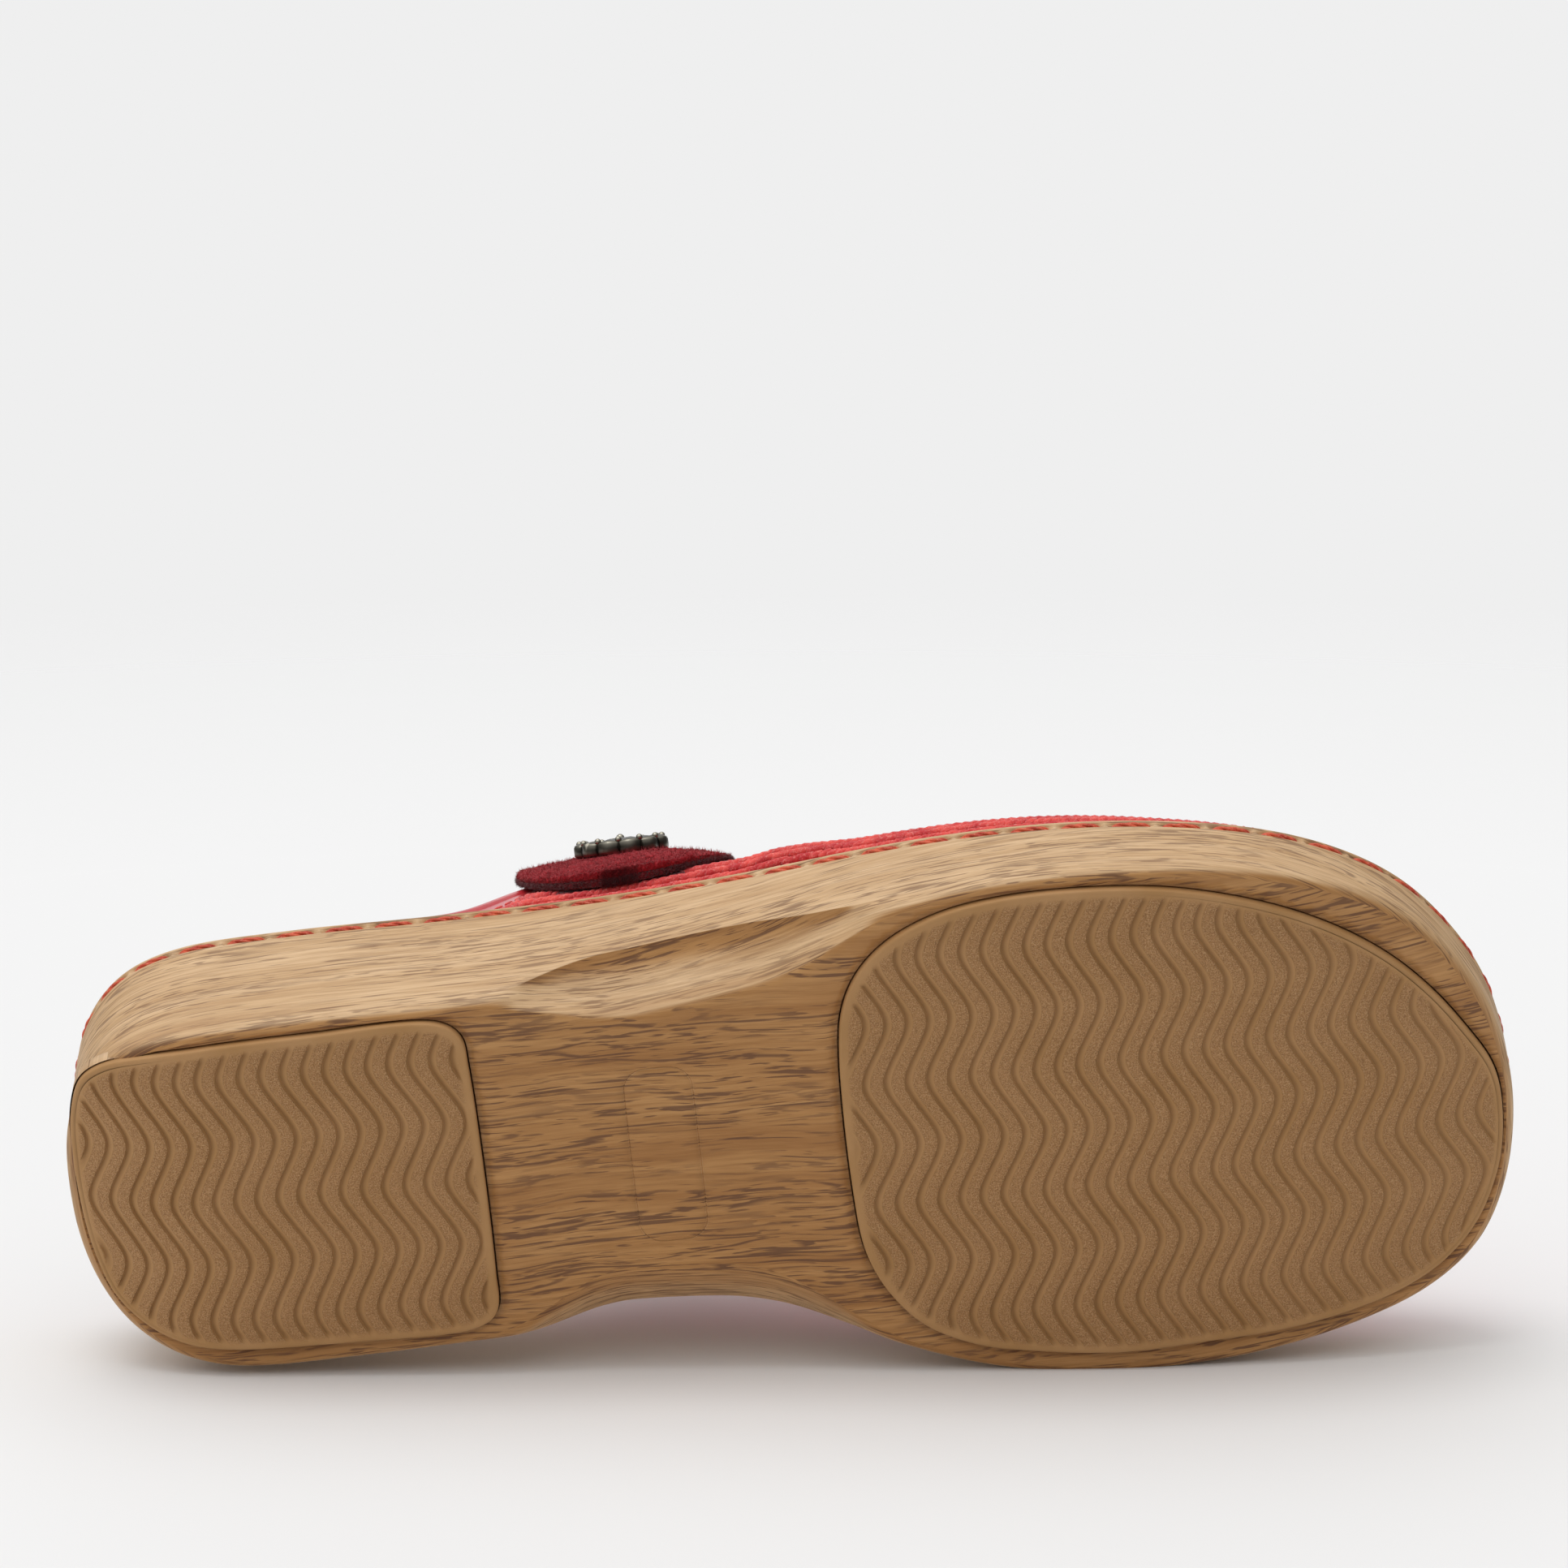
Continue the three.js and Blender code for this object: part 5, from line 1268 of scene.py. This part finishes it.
# Seams round the strap, and a box of stitches where it is sewn to the quarter.
SEAM_START_W, SEAM_END_W, BOX_END_W = MEDIAL_V + 0.03, HINGE_W - 0.12, MEDIAL_V + 0.2
seam_lines = [(np.linspace(SEAM_START_W, SEAM_END_W, 200), np.full(200, k)) for k in (-0.86, 0.86)]
seam_lines += [(np.full(120, w), np.linspace(-0.84, 0.84, 120)) for w in (SEAM_START_W, BOX_END_W)]
strap_seams = []
for w, k in seam_lines:
    near, far = strap_grid(w, k, TOP_HIGH + 0.02), strap_grid(w, k, TOP_HIGH + 1)
    strap_seams.append(stitch_row(np.concatenate([near, far - near], 1), FINE_PITCH, FINE))
build("strap_seams", strap_seams, cotton, "thread")

# ---------------------------------------------------------------- concho
# Die-cast antique metal flower, screwed through the tab from behind: twelve petals round a domed
# middle, with a bead in each dip between petals.

PETALS, CONCHO_V = 12, 0.42
seat_t = side_at(np.array([STRAP_X - 1, STRAP_X, STRAP_X + 1]), True)
spots = on_upper(seat_t, CONCHO_V, TOP_LOW)
climb_way = on_upper(seat_t[1], CONCHO_V + 0.02, TOP_LOW) - on_upper(seat_t[1], CONCHO_V - 0.02, TOP_LOW)
out = unit(np.cross(spots[2] - spots[0], climb_way))
if out @ (on_upper(seat_t[1], CONCHO_V, TOP_LOW + 1) - spots[1]) < 0:
    out = -out
forwards = unit(spots[2] - spots[0])
upwards = np.cross(out, forwards)
seat = spots[1] + out * (TOP_HIGH * HUG_MIDDLE - TOP_LOW - 0.3)


def stand(points):
    """Moves points from the concho's own axes to its seat on the tab."""
    points = np.asarray(points, float).reshape(-1, 3)
    return seat + points[:, :1] * forwards + points[:, 1:2] * upwards + points[:, 2:] * out


theta = np.linspace(0, 2 * math.pi, 288, endpoint=False)[None, :]
lobe = 0.5 + 0.5 * np.cos(PETALS * theta)
rings = [(0.0, 0.0), (6.5, 0.0), (8.1, 0.0), (8.55, 0.15), (8.72, 0.5), (8.75, 1.2), (8.72, 2.0),
         (8.55, 2.35), (8.2, 2.55), (7.8, 2.62), (7.3, 2.66), (6.8, 2.70), (6.2, 2.72), (5.6, 2.7),
         (5.0, 2.6), (4.5, 2.4), (4.2, 2.2), (4.0, 2.15), (3.8, 2.25), (3.4, 2.6), (2.8, 2.85),
         (2.0, 3.0), (1.0, 3.08), (0.0, 3.1)]
radius = np.array([r for r, _ in rings])[:, None]
height = np.array([h for _, h in rings])[:, None]
outside = ramp(radius, 4.4, 8.0)
r = radius * 1.05 * (1 - 0.085 * outside * (1 - lobe ** 0.6))
relief = 0.42 * (lobe - 0.45) * np.exp(-((radius - 6.5) / 1.7) ** 2) * (height > 2.1)
disc = np.stack([r * np.cos(theta), r * np.sin(theta), height + relief + 0 * theta], -1)
middle_petals = 0.14 * np.cos(6 * theta) * np.exp(-((radius - 2.2) / 0.8) ** 2) * (height > 2.1)
disc[..., 2] += middle_petals
concho_parts = [(stand(disc), grid(len(rings), theta.size, wrap=True))]
for count, place, size, top_z in ((PETALS, 7.9, 0.62, 2.7), (PETALS, 4.15, 0.36, 2.35), (1, 0, 0.8, 3.05)):
    a = (np.arange(count) + 0.5) * 2 * math.pi / count
    spots = np.stack([place * np.cos(a), place * np.sin(a), np.full(count, top_z)], 1)
    axes = [np.tile(v, (count, 1)) for v in (forwards, upwards, out)]
    concho_parts.append(beads(stand(spots), *axes, (size, size, size), 12, 9))

# Antique plated zinc: nearly black in the recesses, rubbed to pale silver on the high places.
metal, tree = material("antique_plated_zinc")
at = node(tree, "TexCoord").outputs["Object"]
patina = node(tree, "TexNoise", {"Vector": at, "Scale": 700, "Detail": 4.0}).outputs["Fac"]
high_places = node(tree, "NewGeometry").outputs["Pointiness"]
rubbed = node(tree, "MapRange", {"Value": high_places, "From Min": 0.51, "From Max": 0.60}).outputs[0]
base = node(tree, "ValToRGB", {"Fac": patina},
            [(0.3, rgb("#13100D")), (0.7, rgb("#2E2A24"))]).outputs["Color"]
colour = node(tree, "Mix", {0: rubbed, 6: base, 7: rgb("#C9C3B2")}, data_type="RGBA").outputs[2]
rough = node(tree, "MapRange", {"Value": patina, "To Min": 0.22, "To Max": 0.45}).outputs[0]
bump = node(tree, "Bump", {"Height": patina, "Strength": 0.25, "Distance": 0.1 * MM}).outputs[0]
skin = node(tree, "BsdfPrincipled", {"Base Color": colour, "Metallic": 1.0, "Roughness": rough,
                                     "Normal": bump})
node(tree, "OutputMaterial", {"Surface": skin.outputs[0]})
build("concho_flower", concho_parts, metal, "antique_metal", body="tab", replaces=["concho_cap"])

# ---------------------------------------------------------------- hidden pieces
# The pieces shut inside keep their own shapes: steel shank, fibre board, cork core, foam, toe puff
# and the concho's screw.


def plain_piece(piece, name, stops, scale, rough, metallic=0.0, kind="TexNoise", depth=0.1):
    """A finish of one mottled pattern for a piece that is shut inside. scale is per metre."""
    made, tree = material(name)
    at = node(tree, "TexCoord").outputs["Object"]
    pattern = node(tree, kind, {"Vector": at, "Scale": scale})
    value = pattern.outputs["Fac" if kind == "TexNoise" else "Distance"]
    colour = node(tree, "ValToRGB", {"Fac": value}, [(p, rgb(c)) for p, c in stops]).outputs["Color"]
    bump = node(tree, "Bump", {"Height": value, "Strength": 0.5, "Distance": depth * MM}).outputs[0]
    skin = node(tree, "BsdfPrincipled", {"Base Color": colour, "Roughness": rough,
                                         "Metallic": metallic, "Normal": bump})
    node(tree, "OutputMaterial", {"Surface": skin.outputs[0]})
    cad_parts[piece].material_slots[0].material = made


# Bright steel with faint rolling marks, a pale speckled board, brown cork grains, cream foam cells, a
# smooth cream stiffener and a bright zinc screw.
plain_piece("shank", "rolled_spring_steel", [(0.3, "#7E8387"), (0.7, "#A9ADB0")], 900, 0.32, 1.0)
plain_piece("insole_board", "pressed_cellulose_board", [(0.35, "#C9C2AE"), (0.65, "#E2DCCB")], 1400, 0.9)
plain_piece("footbed_core", "granulated_cork", [(0.1, "#5F4023"), (0.45, "#A87E50"), (0.8, "#C79B69")],
            420, 0.88, kind="TexVoronoi", depth=0.4)
plain_piece("footbed_foam", "open_cell_foam", [(0.1, "#A79F8B"), (0.5, "#DDD6C4")], 1600, 0.95,
            kind="TexVoronoi", depth=0.3)
plain_piece("toe_puff", "thermoplastic_stiffener", [(0.35, "#CFC6B2"), (0.65, "#E5DECC")], 700, 0.7)
plain_piece("concho_screw", "zinc_plated_screw", [(0.3, "#8C8F90"), (0.7, "#B4B6B5")], 1200, 0.3, 1.0)

low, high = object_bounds()
